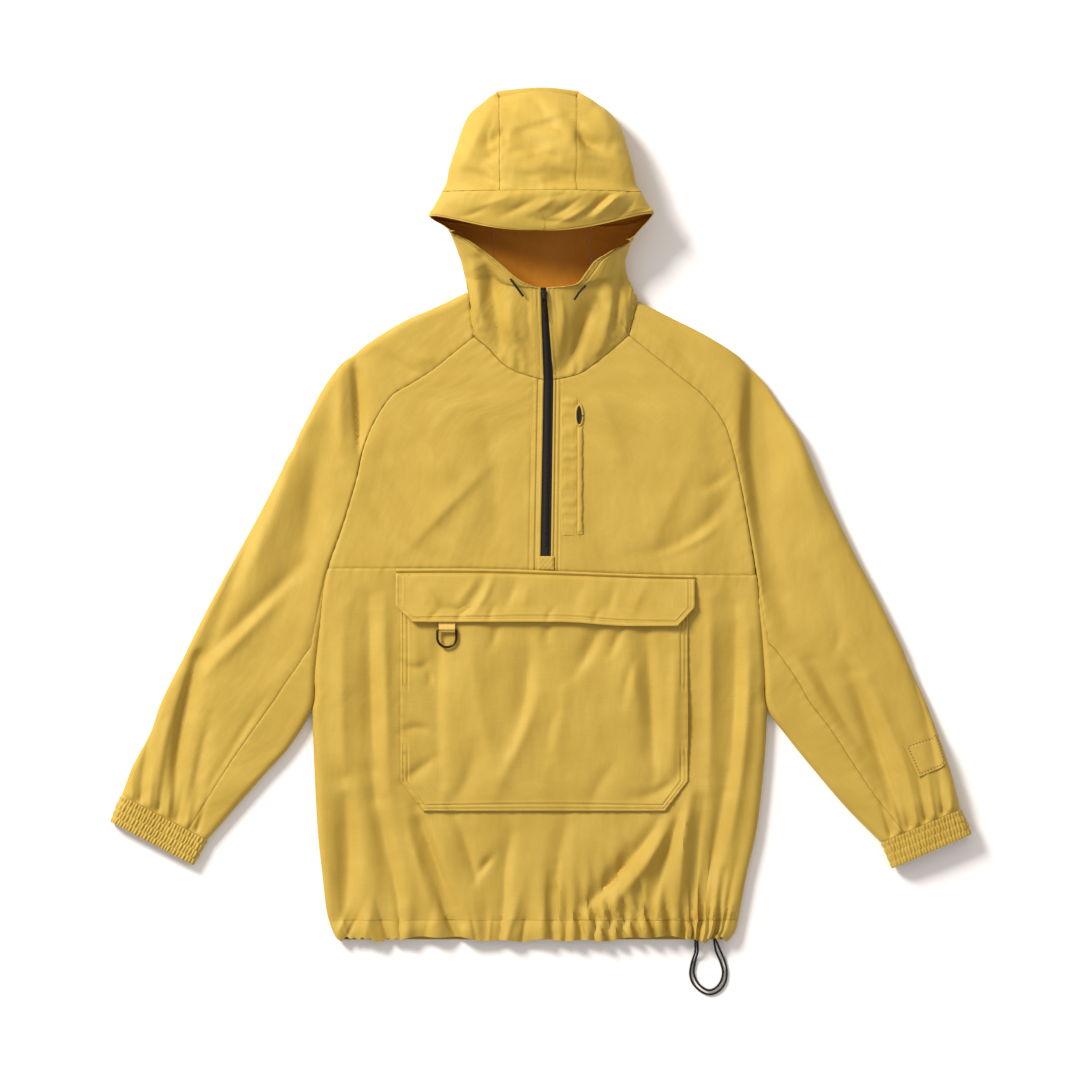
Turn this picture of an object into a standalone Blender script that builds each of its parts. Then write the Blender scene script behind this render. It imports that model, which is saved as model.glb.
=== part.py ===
"""Half-zip hooded anorak pullover in plain woven nylon, laid out on its back.

The frame has +Z up from the table and +Y from the hem to the hood; the wearer's right side is at -X.
Each cut piece is a closed wall of cloth. Tables and sizes are in millimetres.
"""

import math

import bmesh
import bpy
import numpy as np

MM = 0.001
CENTRE = (0.5, -0.9)   # middle of the bounding box without the cords, which becomes the origin

# Cloth
CLOTH = 1.5            # wall of one layer
SEAM = 0.3             # gap between two pieces that are sewn together
STRIP = 1.2            # wall of a strip laid on the front
LOFT = 15.0            # height of the upper layer over the table
ROLL = 9.0             # how far a rolled edge reaches in from the outline
ROLL_AT_ARMPIT = 3.0   # the same under the armpit, where the two rolls touch
ROLL_RUN = 28.0        # how far above the armpit the seam starts to turn under

# Body
SEAM_Y = -66.0         # pocket seam across the front
ARMPIT_Y = -232.0
HEM_SEAM_Y = -487.0    # where the drawcord casing starts
HEM_Y = -510.0
CASING = 2.6           # doubled cloth of the casing
HEM_GATHER = 3.6
GATHER_REACH = 34.0    # how far the gathers run up before they fade

FRONT_ROWS = (SEAM_Y - SEAM / 2.0, -86.0, -106.0, -127.0, -148.0, -169.0, -190.0, -204.0, -218.0,
              ARMPIT_Y, -254.0, -285.0, -320.0, -356.0, -400.0, -440.0, -468.0, HEM_SEAM_Y + SEAM / 2.0)

BODY_HALF = 262.0

# Kangaroo pocket and its flap
POCKET_LEFT = -168.0
POCKET_RIGHT = 177.0
POCKET_CLIP_Y = -320.0
POCKET_BOTTOM_Y = -356.0
POCKET_CLIP = 27.0
POCKET_TOP_Y = -110.0
POCKET_LIFT = 2.6
SLIT_Y = -245.0
SLIT_HALF = 42.0
SLIT_LIFT = 3.0
FLAP_OVERHANG = 5.0
FLAP_CLIP_Y = -110.0
FLAP_BOTTOM_Y = -129.0
FLAP_CLIP = 20.0
FLAP_STAND = 9.4       # how far the free edge stands over the lower front

# Zip, webbing loop and ring
ZIP_WALL = 1.4
CHAIN_RISE = 1.0
SLIDER_Y = 262.0
SLIDER = (8.6, 13.0, 2.2)           # width, length and height of its plate
BRIDGE = (1.2, 3.5, 1.8, 5.4)       # half width, half length, bottom and top
BRIDGE_HOLE = (4.0, 1.1, 2.5, 4.7)
PULL = (5.2, 26.0, 1.2)
PULL_WINDOW = (1.6, -6.5, -0.6)     # half width, low end and high end
RING_WIRE = 1.3
RING_HALF_WIDTH = 11.4
RING_DROP = 9.0
RING_BAR = (-112.4, -139.0)
TAB_WIDTH = 19.4
TAB_TOP_Y = -123.0
TAB_NECK = 9.0         # from the ring's bar to where both layers of the tab meet
CHEST_PULL = (6.2, 20.0, 2.0)
CHEST_PULL_TOP = (47.0, 128.5)

# Cords
CORD_RADIUS = 1.3

# x1 y1 x2 y2 x3 y3 half_width height: a fold runs through three places
BODY_FOLDS = (
    (-74, 138, -120, 54, -168, -31, 28, 3.0),
    (119, 160, 178, 78, 190, -31, 30, 3.0),
    (208, 100, 218, 18, 232, -55, 18, -2.5),
    (-177, -60, -176, -110, -172, -165, 18, -2.5),
    (-205, -80, -207, -250, -197, -400, 26, 3.5),
    (-147, -361, -119, -420, -106, -481, 20, 3.5),
    (-95, -370, -78, -420, -66, -470, 20, -2.5),
    (150, -362, 110, -430, 62, -495, 20, 3.5),
    (178, -334, 160, -420, 127, -495, 20, 3.5),
    (206, -300, 206, -400, 190, -490, 20, 3.0),
    (233, -127, 239, -223, 226, -343, 20, 2.5),
)
SLEEVE_FOLDS = (
    (-267, 78, -290, -55, -335, -125, 24, -3.5),
    (-305, 50, -328, -40, -376, -130, 24, 2.5),
    (-411, -177, -430, -230, -448, -362, 20, -3.5),
    (-220, 184, -222, 130, -226, 76, 20, -3.0),
    (256, 150, 266, 90, 280, 5, 20, -4.0),
    (295, 120, 310, 60, 335, -20, 24, 3.5),
    (371, -193, 398, -270, 433, -378, 20, -3.5),
    (335, -60, 374, -150, 405, -235, 24, 3.0),
)
HOOD_FOLDS = (
    (52, 300, 46, 235, 34, 175, 16, -4.0),
    (80, 285, 72, 235, 64, 190, 16, 3.0),
    (-56, 303, -52, 275, -50, 240, 14, -3.0),
    (-30, 230, -28, 200, -26, 175, 12, 1.5),
)

# y left right: side edges of the body below the armpits
BODY_SIDES = (
    (-232, -274, 272), (-295, -272, 269), (-375, -268, 260), (-434, -262, 247), (-478, -257, 239),
    (-500, -250, 234), (-512, -243, 226),
)

# x_in y_in x_out y_out seam: inner edge, which is the raglan seam down to the armpit, outer edge, and place of the
# lengthwise seam, -1 at the inner edge and 1 where the outer edge starts to roll
LEFT_SLEEVE = (
    (-80, 213, -87, 267, -1), (-105, 193, -124, 249, -1), (-130, 173, -163, 232, -1),
    (-155, 157, -201, 209, -1), (-179, 142, -233, 184, -1), (-200, 110, -258, 155, -1),
    (-213, 78, -281, 113, -1), (-221, 42, -305, 68, -1), (-238, -15, -333, 15, -1),
    (-255.5, -64.5, -367.5, -49.5, -1), (-263, -106, -392, -97, -0.75), (-267, -148, -413, -139, 0.04),
    (-271, -190, -431, -177, 0.13), (-274, -232, -449, -213, 0.24), (-300, -277, -466, -249, 0.29),
    (-331, -312, -478, -277, 0.28), (-361, -346, -491, -307, 0.26), (-400, -391, -503, -337, 0.2),
)
RIGHT_SLEEVE = (
    (106, 215, 117, 256, -1), (137, 190, 156, 236, -1), (168, 165, 196, 216, -1),
    (196, 142, 236, 191, -1), (220, 110, 267, 165, -1), (231, 78, 289, 130, -1),
    (239, 42, 313, 87, -1), (247, 0, 338, 32, -1), (259, -72.8, 377, -48, -1),
    (262, -106, 400, -91, -0.75), (266, -148, 421, -133, 0.04), (269, -190, 440, -173, 0.13),
    (272, -232, 459, -213, 0.24), (297, -268, 471, -245, 0.29), (331, -310, 484, -283, 0.28),
    (368, -353, 495, -318, 0.26), (409, -394, 504, -354, 0.2),
)
# x_in y_in x_out y_out: both ends of each elastic cuff
LEFT_CUFF = ((-400, -391, -503, -337), (-408, -406, -510, -353), (-417, -421, -516, -369))
RIGHT_CUFF = ((409, -394, 504, -354), (415, -409, 511, -368), (422, -425, 517, -384))
CUFF_RIBS = 26
RIB_RISE = 1.3

# x y: neck seam from the zip to the raglan seam, then along the shoulder
LEFT_NECK = ((3.7, 161), (-29, 171), (-47, 182), (-63, 199), (-80, 213), (-87, 267))
RIGHT_NECK = ((15.5, 161), (45, 168), (63, 179), (90, 201), (106, 215), (117, 256))
# y left right: edges of the cloth along the zip
ZIP_EDGES = ((300, 0.0, 6.0), (272, 0.0, 7.0), (243, 1.2, 14.2), (161, 3.7, 15.5), (-50, 0, 12.4), (-80, 0, 12.4))
ZIP_BOTTOM_Y = -50.0

# x y z of the top or opening edge, x y z of the widest place, x y on the table, y at the back
HOOD_LEFT = (
    (2, 509, 17, -52, 501, 9, -46, 501, 503), (2, 502, 30, -66, 494, 15, -58, 494, 496),
    (2, 487, 46, -83, 482, 22, -71, 482, 484), (2, 466, 60, -93, 464, 29, -77, 464, 465),
    (2, 438, 71, -102, 438, 35, -84, 438, 438), (2, 412, 79, -111, 412, 40, -90, 412, 412),
    (2, 390, 83, -118, 388, 44, -95, 389, 389), (2, 367, 85, -127, 371, 47, -99, 371, 372),
    (-2, 335, 79, -133, 357, 50, -101, 356, 356), (-103, 340, 51, -112, 343, 46, -100, 340, 341),
    (-83, 327, 52, -104, 327, 28, -95, 327, 328), (-53, 305, 50, -99, 313, 24, -91, 313, 315),
    (-29, 284, 47, -95, 302, 20, -87, 302, 303), (-10, 274, 45, -93, 293, 18, -85, 292, 293),
    (0, 272, 43, -91, 285, 16, -83, 283, 284),
)
HOOD_RIGHT = (
    (2, 509, 17, 46, 501, 9, 40, 501, 503), (2, 502, 30, 62, 494, 15, 54, 494, 496),
    (2, 487, 46, 82, 480, 22, 70, 480, 484), (2, 466, 60, 96, 463, 29, 81, 463, 465),
    (2, 438, 71, 105, 438, 35, 87, 438, 438), (2, 412, 79, 114, 412, 40, 92, 412, 412),
    (2, 390, 83, 121, 388, 44, 97, 389, 389), (2, 367, 85, 129, 372, 47, 101, 371, 372),
    (-2, 335, 79, 135, 360, 50, 103, 358, 356), (103, 330, 51, 114, 335, 46, 102, 332, 341),
    (84, 316, 51, 107, 321, 28, 99, 321, 328), (65, 304, 50, 105, 312, 24, 97, 312, 315),
    (55, 291, 48, 104, 302, 20, 95, 302, 303), (41, 276, 45, 105, 292, 18, 95, 291, 293),
    (7, 272, 43, 107, 282, 16, 97, 281, 284),
)
BRIM_SEAM_ROW = 6
BRIM_EDGE_ROW = 8
OPENING_ROW = 9
COLLAR_ROW = 14        # last table row; the collar runs on from it to the neck seam
NECK_ROW = 17
WIDEST = 0.6           # share of a side row that ends at its widest place
NOSE = 6.0
TOP_SEAMS = (-50.0, 44.0)
BACK_SEAMS = (-57.0, 60.0)
COLLAR_PUFF = 4.0
NECK_CORNER = 0.45     # share of the neck row at the raglan seam
SEAM_SHARE = 0.0015    # half gap of the lengthwise sleeve seam, as a share of the width
ROLL_SHARE = 0.04      # the same where the seam runs out into the rolled edge
BACK_NECK = ((-85.8, 258.0), (114.7, 247.3))

# left right low high rise: strips laid on the upper front
CHEST_WELT = (26.0, 43.5, -25.0, 143.0, 1.7)
ZIP_GARAGE = (-3.5, 16.0, -64.5, -50.6, 2.4)
PATCH_ROWS = (13.42, 14.42)
PATCH_SHARES = (0.755, 1.2)
PATCH_SLANT = 0.25

# x y rise: cord between its two eyelets on the collar
HOOD_CORD_LEFT = ((-36, 283, 0.6), (-29, 273, 2.0), (-21, 262, 0.6))
HOOD_CORD_RIGHT = ((54, 276, 0.6), (47, 267, 2.0), (40, 258, 0.6))
# x y z of the two strands of the hem cord, between the places where they leave the casing
HEM_CORD_OUTER = (
    (185.6, -525, 6.5), (183, -533, 2.6), (180.8, -541, 1.5), (179.5, -552, 1.5), (183, -563, 1.5), (192, -572, 1.5),
    (203, -576, 1.5), (214, -572, 1.5), (221.5, -562, 1.5), (223.5, -549, 1.5), (221, -536, 1.6), (216, -524, 6.0),
)
HEM_CORD_INNER = (
    (188.7, -525, 6.5), (186.4, -533, 2.6), (184.7, -541, 1.5), (183.9, -551, 1.5), (187.8, -561, 1.5),
    (195, -568, 1.5), (203, -571, 1.5), (211, -567.5, 1.5), (217, -559, 1.5), (218.8, -548, 1.5),
    (215.5, -536, 1.6), (210.5, -524, 6.0),
)
HEM_CORD_EXITS = ((186.9, 212.3), (190.0, 207.0))


def clear_scene():
    for item in list(bpy.data.objects):
        bpy.data.objects.remove(item)


def finish_of(name, colour, roughness, metallic=0.0):
    material = bpy.data.materials.new(name)
    material.use_nodes = True
    shader = material.node_tree.nodes["Principled BSDF"]
    shader.inputs["Base Color"].default_value = (*colour, 1.0)
    shader.inputs["Roughness"].default_value = roughness
    shader.inputs["Metallic"].default_value = metallic
    return material


def smooth(value):
    share = np.clip(value, 0.0, 1.0)
    return share * share * (3.0 - 2.0 * share)


def table_value(table, column, row):
    """Smooth curve through one column of a table, at a fractional row."""
    values = np.array([line[column] for line in table], float)
    last = len(values) - 1
    start = np.clip(np.floor(row).astype(int), 0, last - 1)
    share = row - start
    before = values[np.maximum(start - 1, 0)]
    first = values[start]
    second = values[start + 1]
    after = values[np.minimum(start + 2, last)]
    slope_a = (second - before) / 2.0
    slope_b = (after - first) / 2.0
    cubic = 2.0 * first - 2.0 * second + slope_a + slope_b
    square = -3.0 * first + 3.0 * second - 2.0 * slope_a - slope_b
    return ((cubic * share + square) * share + slope_a) * share + first


def edge_value(table, column, y):
    """Value of a table of falling y at a given y."""
    heights = [line[0] for line in table][::-1]
    values = [line[column] for line in table][::-1]
    return np.interp(y, heights, values)


def body_edge(side, y):
    """Outline of the body: the raglan seam down to the armpit, then its own side."""
    table = LEFT_SLEEVE if side < 0 else RIGHT_SLEEVE
    places = [(line[1], line[0]) for line in table if line[1] >= ARMPIT_Y]
    places += [(line[0], line[1 if side < 0 else 2]) for line in BODY_SIDES[1:]]
    places = places[::-1]
    return np.interp(y, [place[0] for place in places], [place[1] for place in places])


def fold_height(folds, x, y):
    total = np.zeros(np.broadcast(x, y).shape)
    for x1, y1, x2, y2, x3, y3, half_width, height in folds:
        nearest = np.full(total.shape, 1e9)
        place = np.zeros(total.shape)
        for ax, ay, bx, by, begin in ((x1, y1, x2, y2, 0.0), (x2, y2, x3, y3, 0.5)):
            run_x, run_y = bx - ax, by - ay
            share = ((x - ax) * run_x + (y - ay) * run_y) / (run_x * run_x + run_y * run_y)
            share = np.clip(share, 0.0, 1.0)
            distance = np.hypot(x - ax - share * run_x, y - ay - share * run_y)
            closer = distance < nearest
            nearest = np.where(closer, distance, nearest)
            place = np.where(closer, begin + share / 2.0, place)
        taper = np.sin(np.pi * np.clip(place, 0.08, 0.92)) ** 0.7
        total += height * taper * np.exp(-(nearest / half_width) ** 2)
    return total


def layer_height(x, y):
    """Height of the upper layer of the body and sleeves, before its edges roll down."""
    cuff_rise = 8.0 * smooth((x - 360.0) / 110.0) * smooth((-y - 200.0) / 150.0)
    flat_hem = -1.0 * smooth((-y - 440.0) / 60.0)
    folds = fold_height(BODY_FOLDS + SLEEVE_FOLDS, x, y)
    return np.maximum(LOFT + cuff_rise + flat_hem + folds, 5.0)


def seam_angle(y):
    """Where a rolled edge starts: 90 is level, 0 stands upright, -90 is tucked under on the table."""
    places = [ARMPIT_Y, ARMPIT_Y + ROLL_RUN, 0.0, 110.0, 175.0, 213.0]
    return np.interp(y, places, [-90.0, 8.0, 14.0, 24.0, 50.0, 62.0])


def under_reach(y):
    return np.interp(y, [ARMPIT_Y - 40.0, ARMPIT_Y], [ROLL, ROLL_AT_ARMPIT])


def roll(share, start, under):
    """Distance in from a rolled edge and share of the height, at share 0 to 1 round the roll."""
    angle = np.radians(start + (90.0 - start) * share)
    first = np.radians(start)
    upper = ROLL * (np.where(start >= 0.0, np.cos(first), 1.0) - np.cos(angle))
    lower = under * (1.0 - np.cos(angle))
    reach = np.where(angle < 0.0, lower, upper)
    return reach, (1.0 + np.sin(angle)) / 2.0


def across(u, width, start, under, far_start, far_under, gap=SEAM / 2.0, far_gap=SEAM / 2.0):
    """Place across a layer, u -1 to 0 round the near edge, 0 to 1 between, 1 to 2 round the far edge."""
    near, near_level = roll(np.clip(u + 1.0, -0.2, 1.0), start, under)
    far, far_level = roll(np.clip(2.0 - u, -0.2, 1.0), far_start, far_under)
    near_top = roll(np.ones_like(u), start, under)[0]
    far_top = roll(np.ones_like(u), far_start, far_under)[0]
    middle = gap + near_top + (width - gap - far_gap - near_top - far_top) * u
    place = np.where(u < 0.0, gap + near, np.where(u > 1.0, width - far_gap - far, middle))
    level = np.where(u < 0.0, near_level, np.where(u > 1.0, far_level, 1.0))
    return place, level


def points(x, y, z):
    return np.stack(np.broadcast_arrays(x, y, z), axis=-1)


def neck_place(neck, s):
    """Plan of the neck seam: s 0 to 1 from the zip to the raglan seam, 1 to 2 along the shoulder."""
    curve_row = np.clip(s, 0.0, 1.0) * 4.0
    line = np.clip(s - 1.0, 0.0, 1.0)
    x = table_value(neck[:5], 0, curve_row) + (neck[5][0] - neck[4][0]) * line
    y = table_value(neck[:5], 1, curve_row) + (neck[5][1] - neck[4][1]) * line
    return x, y


def seam_drop(x):
    """The pocket seam runs a little lower towards +X."""
    return 1.5 - 8.3 * smooth((x + 100.0) / 290.0)


def front_upper(side):
    """Upper front panel beside the zip, v 0 at the neck seam to 1 at the pocket seam, u from the raglan seam."""
    edge_column = 1 if side < 0 else 2
    neck = LEFT_NECK if side < 0 else RIGHT_NECK

    def surface(v, u):
        y_side = neck[4][1] + (SEAM_Y - neck[4][1]) * v
        y_zip = neck[0][1] + (SEAM_Y - neck[0][1]) * v + seam_drop(0.0) * v ** 3
        y_side = y_side + seam_drop(side * BODY_HALF) * v ** 3
        x_side = body_edge(side, y_side)
        x_zip = edge_value(ZIP_EDGES, edge_column, y_zip)
        width = np.hypot(x_zip - x_side, y_zip - y_side)
        level_start = np.full_like(width, 89.0)
        place, level = across(u, width, seam_angle(y_side), ROLL, level_start, ROLL, SEAM / 2.0, 0.0)
        share = place / width
        x = x_side + (x_zip - x_side) * share
        y = y_side + (y_zip - y_side) * share
        neck_x, neck_y = neck_place(neck, 1.0 - np.clip(share, 0.0, 1.0))
        top = np.clip(1.0 - v, 0.0, 1.1) ** 2.5
        x = x + (neck_x - (neck[4][0] + (neck[0][0] - neck[4][0]) * share)) * top
        y = y + (neck_y - (neck[4][1] + (neck[0][1] - neck[4][1]) * share)) * top
        straight = seam_drop(side * BODY_HALF) * (1.0 - share) + seam_drop(0.0) * share
        y = y + (seam_drop(x) - straight) * v ** 3
        return points(x, y, layer_height(x, y) * level)

    return surface


def gather_phase(c):
    return np.interp(c, [0.0, 1.0, 1.5, 2.0, 3.0], [0.0, 2.0, 6.0, 16.0, 21.0])


def hem_gathers(c, y):
    size = np.interp(c, [0.0, 1.2, 1.6, 3.0], [0.45, 0.5, 1.0, 1.0])
    edges = smooth(c / 0.15) * smooth((3.0 - c) / 0.15)
    rise = np.exp(-np.maximum(y - HEM_SEAM_Y, 0.0) / GATHER_REACH)
    return HEM_GATHER * size * edges * rise * np.cos(2.0 * np.pi * gather_phase(c))


def front_lower(y, c):
    """Lower front, c -1 to 0 and 3 to 4 round its edges, 1 to 2 under the pocket."""
    fade = np.clip(1.0 - (SEAM_Y - y) / 40.0, 0.0, 1.0)
    left = body_edge(-1, y + seam_drop(-BODY_HALF) * fade)
    right = body_edge(1, y + seam_drop(BODY_HALF) * fade)
    start = seam_angle(y)
    under = under_reach(y)
    gap = np.where(start > -89.0, SEAM / 2.0, 0.0)
    near, near_level = roll(np.clip(c + 1.0, -0.2, 1.0), start, under)
    far, far_level = roll(np.clip(4.0 - c, -0.2, 1.0), start, under)
    top = roll(np.ones_like(c), start, under)[0]
    x_left = left + gap + top
    x_right = right - gap - top
    flank = np.where(c < 1.0, x_left + (POCKET_LEFT - x_left) * c, x_right + (POCKET_RIGHT - x_right) * (3.0 - c))
    middle = POCKET_LEFT + (POCKET_RIGHT - POCKET_LEFT) * (c - 1.0)
    x = np.where((c >= 1.0) & (c <= 2.0), middle, flank)
    x = np.where(c < 0.0, left + gap + near, np.where(c > 3.0, right - gap - far, x))
    level = np.where(c < 0.0, near_level, np.where(c > 3.0, far_level, 1.0))
    y_place = y + seam_drop(x) * fade
    height = layer_height(x, y_place) + hem_gathers(c, y)
    return points(x, y_place, height * level)


def pocket_column(x):
    return 1.0 + (x - POCKET_LEFT) / (POCKET_RIGHT - POCKET_LEFT)


def moved_out(surface, row, column, distance):
    """Points of a surface moved along its normal."""
    step = 0.004
    base = surface(row, column)
    along = surface(row + step, column) - surface(row - step, column)
    side = surface(row, column + step) - surface(row, column - step)
    normal = np.cross(side, along)
    normal = normal / np.linalg.norm(normal, axis=-1, keepdims=True)
    normal = normal * np.sign(normal[..., 2:3])
    return base + normal * np.asarray(distance)[..., None]


def pocket_bag(y, c):
    """Pocket laid on the lower front, with clipped lower corners and open side slits."""
    clip = POCKET_CLIP * np.clip((POCKET_CLIP_Y - y) / (POCKET_CLIP_Y - POCKET_BOTTOM_Y), 0.0, 1.0)
    x = POCKET_LEFT + clip + (POCKET_RIGHT - POCKET_LEFT - 2.0 * clip) * (c - 1.0)
    from_side = np.minimum(c - 1.0, 2.0 - c) * (POCKET_RIGHT - POCKET_LEFT)
    from_bottom = y - POCKET_BOTTOM_Y
    swell = POCKET_LIFT * smooth(from_side / 40.0) * smooth(from_bottom / 40.0)
    slit = SLIT_LIFT * np.exp(-((y - SLIT_Y) / SLIT_HALF) ** 2) * np.exp(-from_side / 30.0)
    return moved_out(front_lower, y, pocket_column(x), 0.5 + 0.06 * clip + CLOTH + swell + slit)


def pocket_flap(t, c):
    """Flap over the pocket: t 0 to 1 is the topstitched bar along the seam, 1 to 3 the flap."""
    y = np.interp(t, [0.0, 0.5, 1.0, 1.4, 2.0, 3.0], [-66.4, -68.6, -71.4, -75.0, FLAP_CLIP_Y, FLAP_BOTTOM_Y])
    clip = FLAP_CLIP * np.clip(t - 2.0, 0.0, 1.0)
    left = POCKET_LEFT - FLAP_OVERHANG + clip
    right = POCKET_RIGHT + FLAP_OVERHANG + 3.0 - clip
    x = left + (right - left) * (c - 1.0)
    y = y - 5.0 * smooth((x - 20.0) / 90.0) * np.clip(t - 1.4, 0.0, 1.6) / 1.6
    column = np.where(x < POCKET_LEFT, 1.0 - (POCKET_LEFT - x) / 76.0, pocket_column(x))
    column = np.where(x > POCKET_RIGHT, 2.0 + (x - POCKET_RIGHT) / 76.0, column)
    stand = np.interp(t, [0.0, 0.5, 1.0, 1.4, 2.0, 3.0], [1.0, 2.2, 1.0, 2.4, 5.6, FLAP_STAND])
    return moved_out(front_lower, y, column, stand + CLOTH)


def sleeve(table):
    """Sleeve as a flat tube: u -1 to 2 over the top, 2 to 3 back along the table to the inner edge."""

    def surface(row, u):
        x_in = table_value(table, 0, row)
        y_in = table_value(table, 1, row)
        x_out = table_value(table, 2, row)
        y_out = table_value(table, 3, row)
        width = np.hypot(x_out - x_in, y_out - y_in)
        start = seam_angle(y_in)
        gap = np.where(start > -89.0, SEAM / 2.0, 0.0)
        tucked = np.full_like(width, -90.0)
        place, level = across(np.minimum(u, 2.0), width, start, under_reach(y_in), tucked, ROLL, gap, 0.0)
        inner = np.where(start > -89.0, SEAM / 2.0, under_reach(y_in))
        table_share = np.clip(u - 2.0, 0.0, 1.0)
        flat_place = (width - ROLL) * (1.0 - table_share) + inner * table_share
        place = np.where(u > 2.0, flat_place, place)
        x = x_in + (x_out - x_in) * place / width
        y = y_in + (y_out - y_in) * place / width
        return points(x, y, np.where(u > 2.0, 0.0, layer_height(x, y) * level))

    return surface


def cuff(table):
    """Elastic cuff: ribs over the top and edges, flat where it lies on the table."""

    def surface(row, u):
        x_in, y_in, x_out, y_out = (table_value(table, column, row) for column in range(4))
        width = np.hypot(x_out - x_in, y_out - y_in)
        tucked = np.full_like(width, -90.0)
        reach = np.full_like(width, ROLL)
        place, level = across(np.minimum(u, 2.0), width, tucked, reach, tucked, reach, 0.0, 0.0)
        table_share = np.clip(u - 2.0, 0.0, 1.0)
        flat_place = width - ROLL - (width - 2.0 * ROLL) * table_share
        place = np.where(u > 2.0, flat_place, place)
        x = x_in + (x_out - x_in) * place / width
        y = y_in + (y_out - y_in) * place / width
        ribs = RIB_RISE * np.cos(np.pi * CUFF_RIBS * (u + 1.0) / 1.5) * smooth(3.0 * level)
        height = (layer_height(x, y) + ribs) * level
        return points(x, y, np.where(u > 2.0, 0.0, height))

    return surface


def hem_ring(y, c):
    """Drawcord casing all round the hem: c -1 to 4 over the front, 4 to 5 back along the table."""
    front = front_lower(y, np.minimum(c, 4.0))
    wave = 2.5 * np.sin(c * 7.3) + 1.5 * np.sin(c * 17.0 + 1.0)
    drop = np.clip((HEM_SEAM_Y - y) / (HEM_SEAM_Y - HEM_Y), 0.0, 1.0)
    under = np.clip(c - 4.0, 0.0, 1.0)
    left = body_edge(-1, y) + ROLL
    right = body_edge(1, y) - ROLL
    flat = points(right + (left - right) * under, y, 0.0)
    ring = np.where((c > 4.0)[..., None], flat, front)
    ring[..., 1] += wave * drop * smooth((c + 1.0) / 0.5) * smooth((4.0 - c) / 0.5)
    return ring


def hood_arch(table, row, p):
    """Table rows: p 0 at the top or opening edge, an arch to the widest place, then a tuck to the table at 1."""
    edge = [table_value(table, column, row) for column in (0, 1, 2)]
    wide = [table_value(table, column, row) for column in (3, 4, 5)]
    foot = [table_value(table, column, row) for column in (6, 7)]
    arch = np.radians(90.0 * (1.0 - np.clip(p / WIDEST, 0.0, 1.0)))
    tuck = np.radians(90.0 * np.clip((p - WIDEST) / (1.0 - WIDEST), 0.0, 1.0))
    high = p <= WIDEST
    x_high = edge[0] + (wide[0] - edge[0]) * np.cos(arch)
    y_high = wide[1] + (edge[1] - wide[1]) * np.sin(arch) ** 2.5
    z_high = wide[2] + (edge[2] - wide[2]) * np.sin(arch)
    x_low = wide[0] + (foot[0] - wide[0]) * (1.0 - np.cos(tuck))
    y_low = wide[1] + (foot[1] - wide[1]) * (1.0 - np.cos(tuck))
    z_low = wide[2] * (1.0 - np.sin(tuck))
    x = np.where(high, x_high, x_low)
    y = np.where(high, y_high, y_low)
    crease = fold_height(HOOD_FOLDS, x, y) * smooth((WIDEST - p) / 0.25) * smooth(row - 5.0)
    return points(x, y, np.where(high, z_high, z_low) + crease)


def top_seam_share(side, row):
    """Where the seam of the centre panel lies on the arch of a side."""
    table = HOOD_LEFT if side < 0 else HOOD_RIGHT
    seam = TOP_SEAMS[0] if side < 0 else TOP_SEAMS[1]
    edge_x = table_value(table, 0, row)
    wide_x = table_value(table, 3, row)
    reach = np.clip((seam - edge_x) / (wide_x - edge_x), 0.0, 0.96)
    return WIDEST * (1.0 - 2.0 / np.pi * np.arccos(reach))


def back_seam_x(side, row):
    table = HOOD_LEFT if side < 0 else HOOD_RIGHT
    foot = np.abs(table_value(table, 6, np.minimum(row, COLLAR_ROW)))
    seam = BACK_SEAMS[0] if side < 0 else BACK_SEAMS[1]
    return side * np.minimum(abs(seam), foot - 8.0)


def collar_fall(row):
    return np.clip((row - COLLAR_ROW) / (NECK_ROW - COLLAR_ROW), 0.0, 1.0)


def hood_back_y(row, x):
    """Where a row of the hood crosses the back, on the table."""
    high = table_value(HOOD_LEFT, 8, np.minimum(row, COLLAR_ROW))
    fall = collar_fall(row)
    neck_y = BACK_NECK[0][1] + (BACK_NECK[1][1] - BACK_NECK[0][1]) * (x - BACK_NECK[0][0]) / (
        BACK_NECK[1][0] - BACK_NECK[0][0])
    return high * (1.0 - fall) + (neck_y + SEAM / 2.0) * fall


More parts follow.
